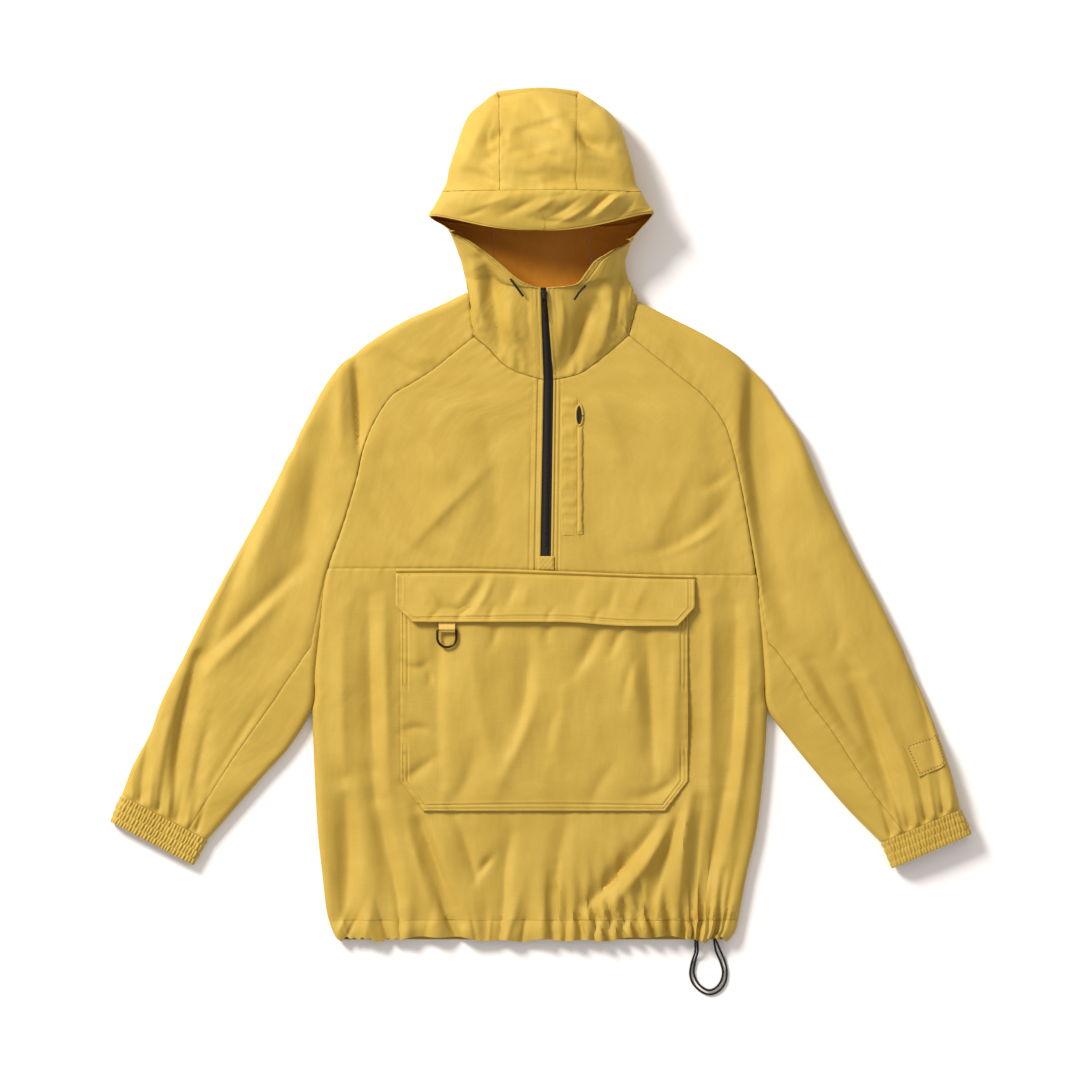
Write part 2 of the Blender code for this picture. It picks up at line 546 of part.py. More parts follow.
def hood_side(side):
    """Side of hood and collar, c 0 to 1 from its top, rim or zip edge to the table, 1 to 2 under the back."""
    table = HOOD_LEFT if side < 0 else HOOD_RIGHT
    body = front_upper(side)
    arm = sleeve(LEFT_SLEEVE if side < 0 else RIGHT_SLEEVE)

    def neck_line(p):
        """The seam that the collar shares with the upper front and the sleeve."""
        on_body = body(np.full_like(p, -0.0016), 1.0 - 2.0 * np.clip(p / NECK_CORNER, 0.0, 1.0))
        on_arm = arm(np.full_like(p, -0.016), np.interp(p, [NECK_CORNER, WIDEST, 1.0], [-1.0, 1.5, 2.0]))
        return np.where((p < NECK_CORNER)[..., None], on_body, on_arm)

    def wall_point(row, p):
        fall = collar_fall(row)[..., None]
        ring = hood_arch(table, np.minimum(row, COLLAR_ROW), p) * (1.0 - fall) + neck_line(p) * fall
        ring[..., 2] += COLLAR_PUFF * np.sin(np.pi * fall[..., 0]) * smooth((0.9 - p) / 0.3)
        return ring

    def surface(row, c):
        above = row < BRIM_SEAM_ROW + 0.02
        top = np.where(above, top_seam_share(side, row) + 0.0008, 0.0)
        ring = np.clip(c, 0.0, 1.0)
        p = np.where(ring < WIDEST, top + (WIDEST - top) * ring / WIDEST, ring)
        wall_at = wall_point(row, p)
        wall_at[..., 1] += NOSE * np.clip(1.0 - row / 1.5, 0.0, 1.0) * np.sin(np.pi * ring)
        foot = wall_point(row, np.ones_like(p))
        back = np.clip(c - 1.0, 0.0, 1.0)
        seam_x = back_seam_x(side, row)
        x = foot[..., 0] + (seam_x - foot[..., 0]) * back
        y = foot[..., 1] + (hood_back_y(row, seam_x) - foot[..., 1]) * back
        return np.where((c > 1.0)[..., None], points(x, y, 0.0), wall_at)

    return surface


def hood_top(row, c, reach):
    """Crown of the hood between both sides, c -1 to 1, as far down as reach on the arch."""
    left = hood_arch(HOOD_LEFT, row, np.maximum(-c, 0.0) * reach(-1.0, row))
    right = hood_arch(HOOD_RIGHT, row, np.maximum(c, 0.0) * reach(1.0, row))
    return np.where((c < 0.0)[..., None], left, right)


def hood_centre(t, c):
    """Centre panel: over the crown at t -6 to 0, round the end at 0 to 1, then down the back to the neck."""
    crown = hood_top(np.clip(-t, 0.0, BRIM_SEAM_ROW), c, top_seam_share)
    back_row = np.clip(t - 1.0, 0.0, NECK_ROW)
    x_left = back_seam_x(-1.0, back_row)
    x_right = back_seam_x(1.0, back_row)
    x = x_left + (x_right - x_left) * (c + 1.0) / 2.0
    back = points(x, hood_back_y(back_row, x), 0.0)
    turn = np.clip(t, 0.0, 1.0)
    end = crown + (back - crown) * turn[..., None]
    end[..., 0] *= 1.0 - 0.04 * np.sin(np.pi * turn)
    end[..., 1] += NOSE * np.sin(np.pi * turn)
    end[..., 2] = crown[..., 2] * (1.0 + np.cos(np.pi * turn)) / 2.0
    return np.where((t <= 0.0)[..., None], crown, np.where((t < 1.0)[..., None], end, back))


def hood_brim(row, c):
    return hood_top(row, c, lambda side, line: np.full_like(line, WIDEST - 0.0015))


def zip_place(t, c):
    """Zip tape: t 14 to 17 down the collar, 17 to 18 down the chest; c 0 to 1 across between the cloth edges."""
    row = np.clip(t, COLLAR_ROW, NECK_ROW)
    v = np.clip(t - NECK_ROW, 0.0, 1.0) * (LEFT_NECK[0][1] - ZIP_BOTTOM_Y) / (LEFT_NECK[0][1] - SEAM_Y)
    on_chest = (t > NECK_ROW)[..., None]
    zero = np.zeros_like(row)
    left = np.where(on_chest, front_upper(-1)(v, zero + 1.0), hood_side(-1)(row, zero))
    right = np.where(on_chest, front_upper(1)(v, zero + 1.0), hood_side(1)(row, zero))
    width = np.linalg.norm(right - left, axis=-1)
    share = (0.3 + (width - 0.6) * c) / width
    place = left + (right - left) * share[..., None]
    place[..., 2] += CHAIN_RISE * smooth((0.28 - np.abs(c - 0.5)) / 0.08) - 0.6
    return place


def wall(name, surface, rows, columns, turn, material, thickness=CLOTH, keep=None, ring=False):
    """Closed cloth wall over a grid of a surface; keep(row, column) says which cells are cloth."""
    row, column = np.meshgrid(np.asarray(rows, float), np.asarray(columns, float), indexing="ij")
    step = 0.004
    outer = surface(row, column)
    along = surface(row + step, column) - surface(row - step, column)
    side = surface(row, column + step) - surface(row, column - step)
    normal = np.cross(side, along)
    normal = turn * normal / np.linalg.norm(normal, axis=-1, keepdims=True)
    inner = outer - thickness * normal
    inner[..., 2] = np.maximum(inner[..., 2], 0.0)
    row_count, column_count = row.shape
    cells = []
    for i in range(row_count - 1):
        for j in range(column_count if ring else column_count - 1):
            after = (j + 1) % column_count
            middle = ((row[i, j] + row[i + 1, j]) / 2.0, (column[i, j] + column[i, after]) / 2.0)
            if keep is None or keep(*middle):
                cells.append(((i, j), (i, after), (i + 1, after), (i + 1, j)))
    number = {}
    for cell in cells:
        for corner in cell:
            if corner not in number:
                number[corner] = len(number)
    total = len(number)
    places = [outer[corner] for corner in number] + [inner[corner] for corner in number]
    edges = {(cell[k], cell[(k + 1) % 4]) for cell in cells for k in range(4)}
    faces = []
    for cell in cells:
        faces.append([number[corner] for corner in cell])
        faces.append([number[corner] + total for corner in reversed(cell)])
    for first, second in sorted(edges):
        if (second, first) not in edges:
            faces.append([number[second], number[first], number[first] + total, number[second] + total])
    return solid(name, places, faces, material)


def solid(name, places, faces, material):
    mesh = bpy.data.meshes.new(name)
    mesh.from_pydata([tuple(float(value) * MM for value in place) for place in places], [], faces)
    work = bmesh.new()
    work.from_mesh(mesh)
    bmesh.ops.recalc_face_normals(work, faces=work.faces)
    work.to_mesh(mesh)
    work.free()
    mesh.shade_smooth()
    mesh.set_sharp_from_angle(angle=math.radians(50.0))
    mesh.materials.append(material)
    item = bpy.data.objects.new(name, mesh)
    bpy.context.scene.collection.objects.link(item)
    return item


def extruded(name, outline, holes, low, high, material):
    """Flat plate between two heights, with a plan outline and holes."""
    work = bmesh.new()
    loops = []
    for loop in [outline] + holes:
        vertices = [work.verts.new((x * MM, y * MM, low * MM)) for x, y in loop]
        loops.append([work.edges.new((vertices[k - 1], vertices[k])) for k in range(len(vertices))])
    bmesh.ops.triangle_fill(work, edges=[edge for loop in loops for edge in loop], use_beauty=True)
    lifted = bmesh.ops.extrude_face_region(work, geom=list(work.faces))
    moved = [item for item in lifted["geom"] if isinstance(item, bmesh.types.BMVert)]
    bmesh.ops.translate(work, verts=moved, vec=(0.0, 0.0, (high - low) * MM))
    bmesh.ops.recalc_face_normals(work, faces=work.faces)
    mesh = bpy.data.meshes.new(name)
    work.to_mesh(mesh)
    work.free()
    mesh.materials.append(material)
    item = bpy.data.objects.new(name, mesh)
    bpy.context.scene.collection.objects.link(item)
    return item


def rounded(half_width, top, bottom, corner):
    """Outline of a bar along Y with rounded ends."""
    outline = []
    for x, y, begin in ((1, bottom, -90), (1, top, 0), (-1, top, 90), (-1, bottom, 180)):
        centre_x = x * (half_width - corner)
        centre_y = y - corner if y == top else y + corner
        for step in range(4):
            angle = math.radians(begin + 30.0 * step)
            outline.append((centre_x + corner * math.cos(angle), centre_y + corner * math.sin(angle)))
    return outline


def box_outline(half_width, low, high):
    return [(-half_width, low), (half_width, low), (half_width, high), (-half_width, high)]


def cord(name, route, spacing, material):
    """Round cord along a smooth curve through its route."""
    route = np.array(route, float)
    fine = np.linspace(0.0, len(route) - 1.0, 40 * len(route))
    curve_points = np.stack([table_value(route, column, fine) for column in range(3)], axis=-1)
    curve_points[:, 2] = np.maximum(curve_points[:, 2], CORD_RADIUS + 0.05)
    length = np.concatenate([[0.0], np.cumsum(np.linalg.norm(np.diff(curve_points, axis=0), axis=1))])
    count = max(int(round(length[-1] / spacing)), 3)
    places = np.linspace(0.0, length[-1], count + 1)
    curve_points = np.stack([np.interp(places, length, curve_points[:, k]) for k in range(3)], axis=-1)
    data = bpy.data.curves.new(name, "CURVE")
    data.dimensions = "3D"
    data.bevel_depth = CORD_RADIUS * MM
    data.bevel_resolution = 2
    data.use_fill_caps = True
    spline = data.splines.new("POLY")
    spline.points.add(count)
    for point, place in zip(spline.points, curve_points):
        point.co = (*(place * MM), 1.0)
    data.materials.append(material)
    item = bpy.data.objects.new(name, data)
    bpy.context.scene.collection.objects.link(item)
    return item


def nearest_on(surface, rows, columns, x, y):
    """Row and column of the place of a surface that lies over a plan place."""
    row, column = np.meshgrid(np.linspace(*rows, 240), np.linspace(*columns, 240), indexing="ij")
    place = surface(row, column)
    index = np.unravel_index(np.argmin(np.hypot(place[..., 0] - x, place[..., 1] - y)), row.shape)
    return row[index], column[index]


def over(surface, rows, columns, x, y, rise):
    """Place that stands rise over a surface at a plan place."""
    row, column = nearest_on(surface, rows, columns, x, y)
    return moved_out(surface, np.array([row]), np.array([column]), np.array([rise]))[0]


def spread(*stretches):
    """Even steps along stretches given as (start, end, steps)."""
    values = [stretches[0][0]]
    for start, end, steps in stretches:
        values.extend(np.linspace(start, end, steps + 1)[1:])
    return np.array(values)


def front_columns():
    """Columns of the lower front and the hem: round both edges, and at each crest and trough of the gathers."""
    stops = []
    for first, last, count in ((0.0, 1.0, 2), (1.0, 1.5, 4), (1.5, 2.0, 10), (2.0, 3.0, 5)):
        stops.extend(np.linspace(first, last, 2 * count + 1)[:-1])
    return np.concatenate([np.linspace(-1.0, 0.0, 6)[:-1], stops, np.linspace(3.0, 4.0, 6)])


def build_body(yellow):
    wall("front_lower", front_lower, FRONT_ROWS, front_columns(), 1.0, yellow)
    rolled = spread((-1.0, 0.0, 4), (0.0, 1.0, 11))
    for name, side, table in (("front_upper_left", -1, LEFT_SLEEVE), ("front_upper_right", 1, RIGHT_SLEEVE)):
        top = table[0][1]
        rows = [(top - line[1]) / (top - SEAM_Y) for line in table if SEAM_Y + 2.0 < line[1] < top]
        rows = np.array([0.002] + rows + [0.9994])
        rows = np.sort(np.concatenate([rows, (rows[-4:-1] + rows[-3:]) / 2.0]))
        wall(name, front_upper(side), rows, rolled, float(side), yellow)
    around = np.concatenate([front_columns(), np.linspace(4.0, 5.0, 8)[1:-1]])
    rows = [HEM_SEAM_Y - SEAM, (HEM_SEAM_Y + HEM_Y) / 2.0, HEM_Y]
    wall("hem_casing", hem_ring, rows, around, 1.0, yellow, CASING, ring=True)


def build_back(yellow):
    """Back panel on the table, up to the raglan seams and to the tucked-under edges of the front."""
    edges = []
    for side, table, neck in ((-1, LEFT_SLEEVE, BACK_NECK[0]), (1, RIGHT_SLEEVE, BACK_NECK[1])):
        edge = [(neck[0] - side * SEAM, neck[1] - SEAM / 2.0), (table[0][0] - side * 1.5 * SEAM, table[0][1])]
        edge += [(line[0] - side * SEAM / 2.0, line[1]) for line in table if ARMPIT_Y < line[1] < table[0][1]]
        for y in FRONT_ROWS:
            if y < ARMPIT_Y + ROLL_RUN:
                share = min((ARMPIT_Y + ROLL_RUN - y) / ROLL_RUN, 1.0)
                inset = SEAM / 2.0 + share * (float(under_reach(y)) + 1.5 * SEAM)
                edge.append((float(body_edge(side, y)) - side * inset, y))
        edges.append(edge)
    return extruded("back_panel", edges[0][::-1] + edges[1], [], 0.0, CLOTH, yellow)


def seam_gap(seam):
    return SEAM_SHARE + (ROLL_SHARE - SEAM_SHARE) * np.clip((0.06 - seam) / 0.6, 0.0, 1.0)


def sleeve_panels(table):
    """Outer and under panel of a sleeve, on both sides of its lengthwise seam."""
    surface = sleeve(table)

    def outer_panel(row, c):
        """c 0 to 1 from the front seam to the outer edge, 1 to 2 round it, 2 to 3 to the back seam."""
        seam = table_value(table, 4, row)
        front = np.where(seam > -0.99, seam + seam_gap(seam), -1.0)
        back = np.where(seam > 0.0, 1.0 - seam - SEAM_SHARE, 1.0)
        u = np.where(c < 1.0, front + (1.0 - front) * c, c)
        return surface(row, np.where(c > 2.0, 2.0 + back * (c - 2.0), u))

    def under_panel(row, c):
        """c -1 to 0 from the back seam to the inner edge, 0 to 2 up round it to the front seam."""
        seam = table_value(table, 4, row)
        front = seam - seam_gap(seam)
        round_share = np.clip(1.0 / (front + 1.0), 0.0, 0.85)
        share = np.where(c < 1.0, round_share * c, round_share + (1.0 - round_share) * (c - 1.0))
        back = 1.0 - np.maximum(seam, 0.02) + SEAM_SHARE
        level = 2.0 + back + (1.0 - back) * (c + 1.0) * 0.94
        return surface(row, np.where(c < 0.0, level, -1.0 + (front + 1.0) * share))

    return outer_panel, under_panel


def build_sleeves(yellow):
    for label, table, turn in (("left", LEFT_SLEEVE, 1.0), ("right", RIGHT_SLEEVE, -1.0)):
        outer_panel, under_panel = sleeve_panels(table)
        last = len(table) - 1
        begin = next(k for k, line in enumerate(table) if line[4] > -1)
        rows = np.concatenate([[0.018], np.arange(1.0, last), [last - 0.006]])
        columns = np.concatenate([[0.0, 0.07, 0.15, 0.25], np.linspace(0.37, 1.0, 6),
                                  np.linspace(1.0, 2.0, 6)[1:], [2.5, 3.0]])
        wall("sleeve_%s_outer" % label, outer_panel, rows, columns, turn, yellow)
        armpit = begin + 3
        rows = np.concatenate([np.arange(begin, last, 1.0), [last - 0.006]])
        columns = np.concatenate([[-1.0, -0.5, -0.06], np.linspace(0.0, 1.0, 5), [1.5, 2.0]])
        wall("sleeve_%s_under" % label, under_panel, rows, columns, turn, yellow,
             keep=lambda row, column: row > armpit or column > 0.0)
    ribs = np.concatenate([np.linspace(-1.0, 2.0, 4 * CUFF_RIBS + 1)[::2], [2.33, 2.67]])
    for name, table, turn in (("cuff_left", LEFT_CUFF, 1.0), ("cuff_right", RIGHT_CUFF, -1.0)):
        wall(name, cuff(table), [0.02, 1.0, 2.0], ribs, turn, yellow, ring=True)


def build_hood(yellow):
    columns = spread((0.0, NECK_CORNER, 9), (NECK_CORNER, WIDEST, 4), (WIDEST, 1.0, 4), (1.0, 1.995, 2))
    rows = np.concatenate([np.arange(0.0, 6.0), [BRIM_SEAM_ROW - 0.008], np.arange(7.0, NECK_ROW + 1.0)])

    def side_cloth(row, column):
        return column > WIDEST or row < BRIM_SEAM_ROW or row > OPENING_ROW

    for name, side in (("hood_side_left", -1.0), ("hood_side_right", 1.0)):
        wall(name, hood_side(side), rows, columns, -side, yellow, keep=side_cloth)
    rows = np.concatenate([[0.008 - BRIM_SEAM_ROW], np.arange(-5.0, 0.0), [0.0, 0.25, 0.5, 0.75, 1.0, 2.0],
                           np.arange(3.0, NECK_ROW + 1.0, 3.0), [NECK_ROW + 1.0]])
    wall("hood_centre", hood_centre, rows, 0.997 * np.linspace(-1.0, 1.0, 7), 1.0, yellow)
    rows = [BRIM_SEAM_ROW + 0.008, 6.6, 7.3, BRIM_EDGE_ROW]
    wall("hood_brim", hood_brim, rows, np.linspace(-1.0, 1.0, 21), -1.0, yellow)


def build_pocket(yellow):
    every = front_columns()
    inside = every[(every > 1.001) & (every < 1.999)]
    columns = np.concatenate([[1.0], inside, [2.0]])
    rows = [POCKET_TOP_Y, -134.0, -162.0, -190.0, -218.0, -245.0, -275.0, POCKET_CLIP_Y, -342.0, POCKET_BOTTOM_Y]
    wall("pocket_bag", pocket_bag, rows, columns, 1.0, yellow)
    columns = np.concatenate([[1.0], inside[1::2], [2.0]])
    wall("pocket_flap", pocket_flap, [0.0, 0.5, 1.0, 1.4, 2.0, 3.0], columns, -1.0, yellow)


def build_chest(yellow, black):
    across_strip = np.linspace(0.0, 1.0, 4)
    wall("chest_welt", layer_patch(*CHEST_WELT), np.linspace(0.0, 1.0, 13), across_strip, 1.0, yellow, STRIP)
    wall("zip_garage", layer_patch(*ZIP_GARAGE), np.linspace(0.0, 1.0, 3), across_strip, 1.0, yellow, STRIP)
    x, y = CHEST_PULL_TOP
    z = over(front_upper(1), (0.0, 1.0), (0.0, 1.0), x, y, 0.0)[2] + SEAM + CHEST_PULL[2] / 2.0
    half, length, thick = CHEST_PULL[0] / 2.0, CHEST_PULL[1], CHEST_PULL[2]
    drop = []
    for step in range(16):
        angle = math.radians(22.5 * step)
        across_drop = half * math.cos(angle) * (1.0 - 0.35 * math.sin(angle))
        drop.append((across_drop, -length / 2.0 + (length / 2.0) * math.sin(angle)))
    pull = extruded("chest_zip_pull", drop, [], -thick / 2.0, thick / 2.0, black)
    pull.location = (x * MM, y * MM, z * MM)


def layer_patch(left, right, low, high, rise):
    """Strip that lies flat on the upper front, moved out from it."""

    def surface(v, u):
        x = left + (right - left) * u
        y = low + (high - low) * v
        return moved_out(lambda py, px: points(px, py, layer_height(px, py)), y, x, rise)

    return surface


def build_zip(black, metal):
    rows = spread((COLLAR_ROW, NECK_ROW, 4), (NECK_ROW, NECK_ROW + 1.0, 14))
    wall("zip_tape", zip_place, rows, [0.0, 0.2, 0.32, 0.68, 0.8, 1.0], -1.0, black, ZIP_WALL)
    row = COLLAR_ROW + (NECK_ROW - COLLAR_ROW) * (272.0 - SLIDER_Y) / 111.0
    here = zip_place(np.array([row]), np.array([0.5]))[0]
    ahead = zip_place(np.array([row + 0.3]), np.array([0.5]))[0]
    slope = math.atan2(here[2] - ahead[2], here[1] - ahead[1])
    width, length, high = SLIDER
    plate = rounded(width / 2.0, length / 2.0, -length / 2.0, 2.5)
    slider = extruded("zip_slider", plate, [], 0.0, high, black)
    parts = []
    for name, (half, reach, bottom, top) in (("slider_bridge", BRIDGE), ("slider_hole", BRIDGE_HOLE)):
        parts.append(extruded(name, box_outline(half, -reach, reach), [], bottom, top, black))
    bridge, hole = parts
    for item in (bridge, hole):
        item.hide_render = True
        item.display_type = "WIRE"
        item.parent = slider
    for item, operation in ((bridge, "UNION"), (hole, "DIFFERENCE")):
        cut = slider.modifiers.new(item.name, "BOOLEAN")
        cut.operation = operation
        cut.object = item
    base = here + np.array([0.0, 0.0, 0.35])
    slider.location = tuple(base * MM)
    slider.rotation_euler = (slope, 0.0, 0.0)
    half, length, bar = PULL[0] / 2.0, PULL[1], PULL[2] / 2.0
    frame = rounded(half, bar, -length, 2.0)
    pull = extruded("zip_pull", frame, [box_outline(*PULL_WINDOW)], -bar, bar, metal)
    hinge = (BRIDGE_HOLE[2] + BRIDGE_HOLE[3]) / 2.0
    axis = base + np.array([0.0, -hinge * math.sin(slope), hinge * math.cos(slope)])
    pull.location = tuple(axis * MM)
    pull.rotation_euler = (slope, 0.0, 0.0)


def build_ring(yellow, metal):
    x, y = RING_BAR
    column = pocket_column(x)
    span = np.linspace(-11.0, 11.0, 9)
    reach = np.linspace(-160.0, -124.0, 13)
    line, side = np.meshgrid(reach, column + span / (POCKET_RIGHT - POCKET_LEFT), indexing="ij")
    base = float(pocket_bag(line, side)[..., 2].max()) + SEAM
    bar_z = base + CLOTH + SEAM + RING_WIRE
    route = []
    for angle in range(180, 361, 15):
        turn = math.radians(angle)
        route.append((RING_HALF_WIDTH * math.cos(turn), -RING_DROP + RING_HALF_WIDTH * math.sin(turn)))
    data = bpy.data.curves.new("d_ring", "CURVE")
    data.dimensions = "3D"
    data.bevel_depth = RING_WIRE * MM
    data.bevel_resolution = 2
    spline = data.splines.new("POLY")
    route = [(-RING_HALF_WIDTH + 1.5, 0.0), (-RING_HALF_WIDTH, -1.5)] + route
    route += [(RING_HALF_WIDTH, -1.5), (RING_HALF_WIDTH - 1.5, 0.0)]
    spline.points.add(len(route) - 1)
    spline.use_cyclic_u = True
    for point, place in zip(spline.points, route):
        point.co = (place[0] * MM, place[1] * MM, 0.0, 1.0)
    data.materials.append(metal)
    ring = bpy.data.objects.new("d_ring", data)
    bpy.context.scene.collection.objects.link(ring)
    ring.location = (x * MM, y * MM, bar_z * MM)
    inner = RING_WIRE + SEAM
    outer = inner + CLOTH
    bend = [math.radians(270.0 - 18.0 * step) for step in range(11)]
    outside = [(y + outer * math.cos(angle), bar_z + outer * math.sin(angle)) for angle in bend]
    inside = [(y + inner * math.cos(angle), bar_z + inner * math.sin(angle)) for angle in bend]
    neck_y = y + TAB_NECK
    under, over_it = base + CLOTH + 0.2, base + 2.0 * CLOTH + 0.2
    profile = [(TAB_TOP_Y, base)] + outside + [(neck_y, over_it), (TAB_TOP_Y, over_it)]
    profile += [(TAB_TOP_Y, under), (neck_y, under)] + inside[::-1]
    profile += [(TAB_TOP_Y, base + CLOTH)]
    extrude_sideways("ring_tab", profile, x - TAB_WIDTH / 2.0, x + TAB_WIDTH / 2.0, yellow)


def extrude_sideways(name, profile, low, high, material):
    """Solid of a y-z profile between two x places."""
    work = bmesh.new()
    vertices = [work.verts.new((low * MM, y * MM, z * MM)) for y, z in profile]
    edges = [work.edges.new((vertices[k - 1], vertices[k])) for k in range(len(vertices))]
    bmesh.ops.triangle_fill(work, edges=edges, use_beauty=True)
    lifted = bmesh.ops.extrude_face_region(work, geom=list(work.faces))
    moved = [item for item in lifted["geom"] if isinstance(item, bmesh.types.BMVert)]
    bmesh.ops.translate(work, verts=moved, vec=((high - low) * MM, 0.0, 0.0))
    bmesh.ops.recalc_face_normals(work, faces=work.faces)
    mesh = bpy.data.meshes.new(name)
    work.to_mesh(mesh)
    work.free()
    mesh.materials.append(material)
    item = bpy.data.objects.new(name, mesh)
    bpy.context.scene.collection.objects.link(item)
    return item


def build_patch(yellow):
    surface = sleeve(RIGHT_SLEEVE)
    rows, columns = PATCH_ROWS, PATCH_SHARES

    def patch(v, u):
        row = rows[0] + (rows[1] - rows[0]) * v + PATCH_SLANT * (1.0 - u)
        return moved_out(surface, row, columns[0] + (columns[1] - columns[0]) * u, 0.4 + 1.0)

    wall("sleeve_patch", patch, np.linspace(0.0, 1.0, 5), np.linspace(0.0, 1.0, 5), -1.0, yellow, 1.0)


def build_cords(black):
    for name, side, places in (("hood_cord_left", -1.0, HOOD_CORD_LEFT), ("hood_cord_right", 1.0, HOOD_CORD_RIGHT)):
        surface = hood_side(side)
        route = [over(surface, (10.0, 16.5), (0.0, 0.5), x, y, CORD_RADIUS + rise) for x, y, rise in places]
        cord(name, route, 4.0, black)
    for name, places, exits in (("hem_cord_outer", HEM_CORD_OUTER, HEM_CORD_EXITS[0]),
                                ("hem_cord_inner", HEM_CORD_INNER, HEM_CORD_EXITS[1])):
        start, end = (over(hem_ring, (HEM_Y, HEM_Y), (2.0, 4.0), x, HEM_Y, -CASING / 2.0) for x in exits)
        below = np.array([0.0, -3.0 * SEAM, 0.0])
        lead = np.array([0.0, -2.5, -0.3])
        route = [start + below, start + below + lead, *places, end + below + lead, end + below]
        cord(name, route, 6.0, black)


def build():
    clear_scene()
    yellow = finish_of("woven nylon", (0.66, 0.45, 0.09), 0.75)
    black = finish_of("black nylon", (0.015, 0.014, 0.014), 0.6)
    metal = finish_of("dark plated metal", (0.03, 0.028, 0.026), 0.35, 0.9)
    build_body(yellow)
    build_back(yellow)
    build_sleeves(yellow)
    build_hood(yellow)
    build_pocket(yellow)
    build_chest(yellow, black)
    build_zip(black, metal)
    build_ring(yellow, metal)
    build_patch(yellow)
    build_cords(black)
    for item in bpy.data.objects:
        if item.parent is None:
            item.location.x -= CENTRE[0] * MM
            item.location.y -= CENTRE[1] * MM


build()
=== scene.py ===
"""Half-zip hooded anorak pullover of woven nylon, laid flat on its back on a pale table."""

import math
from functools import partial

import bpy
import numpy as np
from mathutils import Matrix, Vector
from mathutils.bvhtree import BVHTree


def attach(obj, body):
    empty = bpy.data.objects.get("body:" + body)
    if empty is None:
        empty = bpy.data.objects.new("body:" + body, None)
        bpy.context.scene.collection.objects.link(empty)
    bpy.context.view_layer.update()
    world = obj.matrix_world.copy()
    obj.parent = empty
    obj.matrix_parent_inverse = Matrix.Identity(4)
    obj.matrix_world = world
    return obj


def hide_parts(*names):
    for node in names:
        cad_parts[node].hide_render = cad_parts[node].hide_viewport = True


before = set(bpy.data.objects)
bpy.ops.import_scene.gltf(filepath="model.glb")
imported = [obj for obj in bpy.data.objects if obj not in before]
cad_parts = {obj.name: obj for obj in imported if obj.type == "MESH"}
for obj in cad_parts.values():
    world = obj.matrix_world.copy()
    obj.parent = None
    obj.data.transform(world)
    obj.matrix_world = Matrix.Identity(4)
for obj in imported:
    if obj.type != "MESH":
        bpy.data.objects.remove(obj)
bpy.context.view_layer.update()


# -----------------------------------------------------------------------------------------------------------
# Table, light and camera
# A matt white table top under a broad soft box at the upper left, with an even fill from all round.
# The camera looks straight down, 1.2 mm to the pixel of a picture of 1080 by 1080.

MM = 0.001
VIEW_WIDTH = 1.296
VIEW_MIDDLE = (-0.0011, -0.0299)
CAMERA_HEIGHT = 3
TABLE_HALF = 6
TABLE_TOP = -0.0003      # just below the cloth, so that the two never share a face
FILL = 0.66
SOFT_BOX_POWER = 510
SOFT_BOX_SIZE = 1.8
SOFT_BOX_PLACE = (-3.6, 3.3, 3.4)


def linear(code):
    """Linear colour, with alpha, of an sRGB hex value."""
    parts = [int(code[k:k + 2], 16) / 255 for k in (1, 3, 5)]
    return tuple(v / 12.92 if v <= 0.04045 else ((v + 0.055) / 1.055) ** 2.4 for v in parts) + (1.0,)


def add_node(tree, kind, inputs=(), out=0, **settings):
    """Adds a node and gives one of its outputs; an input is a value or the output that feeds it."""
    node = tree.nodes.new("ShaderNode" + kind)
    for name, value in settings.items():
        setattr(node, name, value)
    for name, value in dict(inputs).items():
        if isinstance(value, bpy.types.NodeSocket):
            tree.links.new(value, node.inputs[name])
        else:
            node.inputs[name].default_value = value
    return node.outputs[out] if node.outputs else None


def new_material(name):
    material = bpy.data.materials.new(name)
    material.use_nodes = True
    material.node_tree.nodes.clear()
    return material, material.node_tree


def new_object(name, data, place=(0, 0, 0)):
    item = bpy.data.objects.new(name, data)
    item.location = place
    bpy.context.scene.collection.objects.link(item)
    return item


# Matt white laminate: a fine-grained sheet that gives back nearly all light, with no gloss to speak of.
table_laminate, tree = new_material("matt white laminate")
speckle = add_node(tree, "TexNoise", {"Scale": 900}, "Fac")
relief = add_node(tree, "Bump", {"Height": speckle, "Strength": 0.05, "Distance": 0.0002})
shader = add_node(tree, "BsdfPrincipled", {"Base Color": linear("#F6F4F5"), "Roughness": 0.8,
                                           "Specular IOR Level": 0.2, "Normal": relief})
add_node(tree, "OutputMaterial", {"Surface": shader})

table_mesh = bpy.data.meshes.new("table")
corners = ((-1, -1), (1, -1), (1, 1), (-1, 1))
table_mesh.from_pydata([(x * TABLE_HALF, y * TABLE_HALF, TABLE_TOP) for x, y in corners], [], [(0, 1, 2, 3)])
table_mesh.materials.append(table_laminate)
new_object("table", table_mesh)

camera_data = bpy.data.cameras.new("camera")
camera_data.type = "ORTHO"
camera_data.ortho_scale = VIEW_WIDTH
bpy.context.scene.camera = new_object("camera", camera_data, (*VIEW_MIDDLE, CAMERA_HEIGHT))

world = bpy.data.worlds.new("studio")
world.use_nodes = True
world.node_tree.nodes["Background"].inputs["Color"].default_value = linear("#FFF9F3")
world.node_tree.nodes["Background"].inputs["Strength"].default_value = FILL
bpy.context.scene.world = world
light_data = bpy.data.lights.new("soft box", "AREA")
light_data.energy = SOFT_BOX_POWER
light_data.size = SOFT_BOX_SIZE
light_data.color = linear("#FFFCF6")[:3]
light = new_object("soft box", light_data, SOFT_BOX_PLACE)
light.rotation_mode = "QUATERNION"
light.rotation_quaternion = light.location.to_track_quat("Z", "Y")
bpy.context.scene.view_settings.view_transform = "Standard"


# -----------------------------------------------------------------------------------------------------------
# Upper fronts
# Two panels of woven nylon, cut on the straight grain, from the neck seam to the pocket seam on either side of
# the zip. They are sewn to the sleeves along the raglan seams, and every seam is pressed and stitched down.

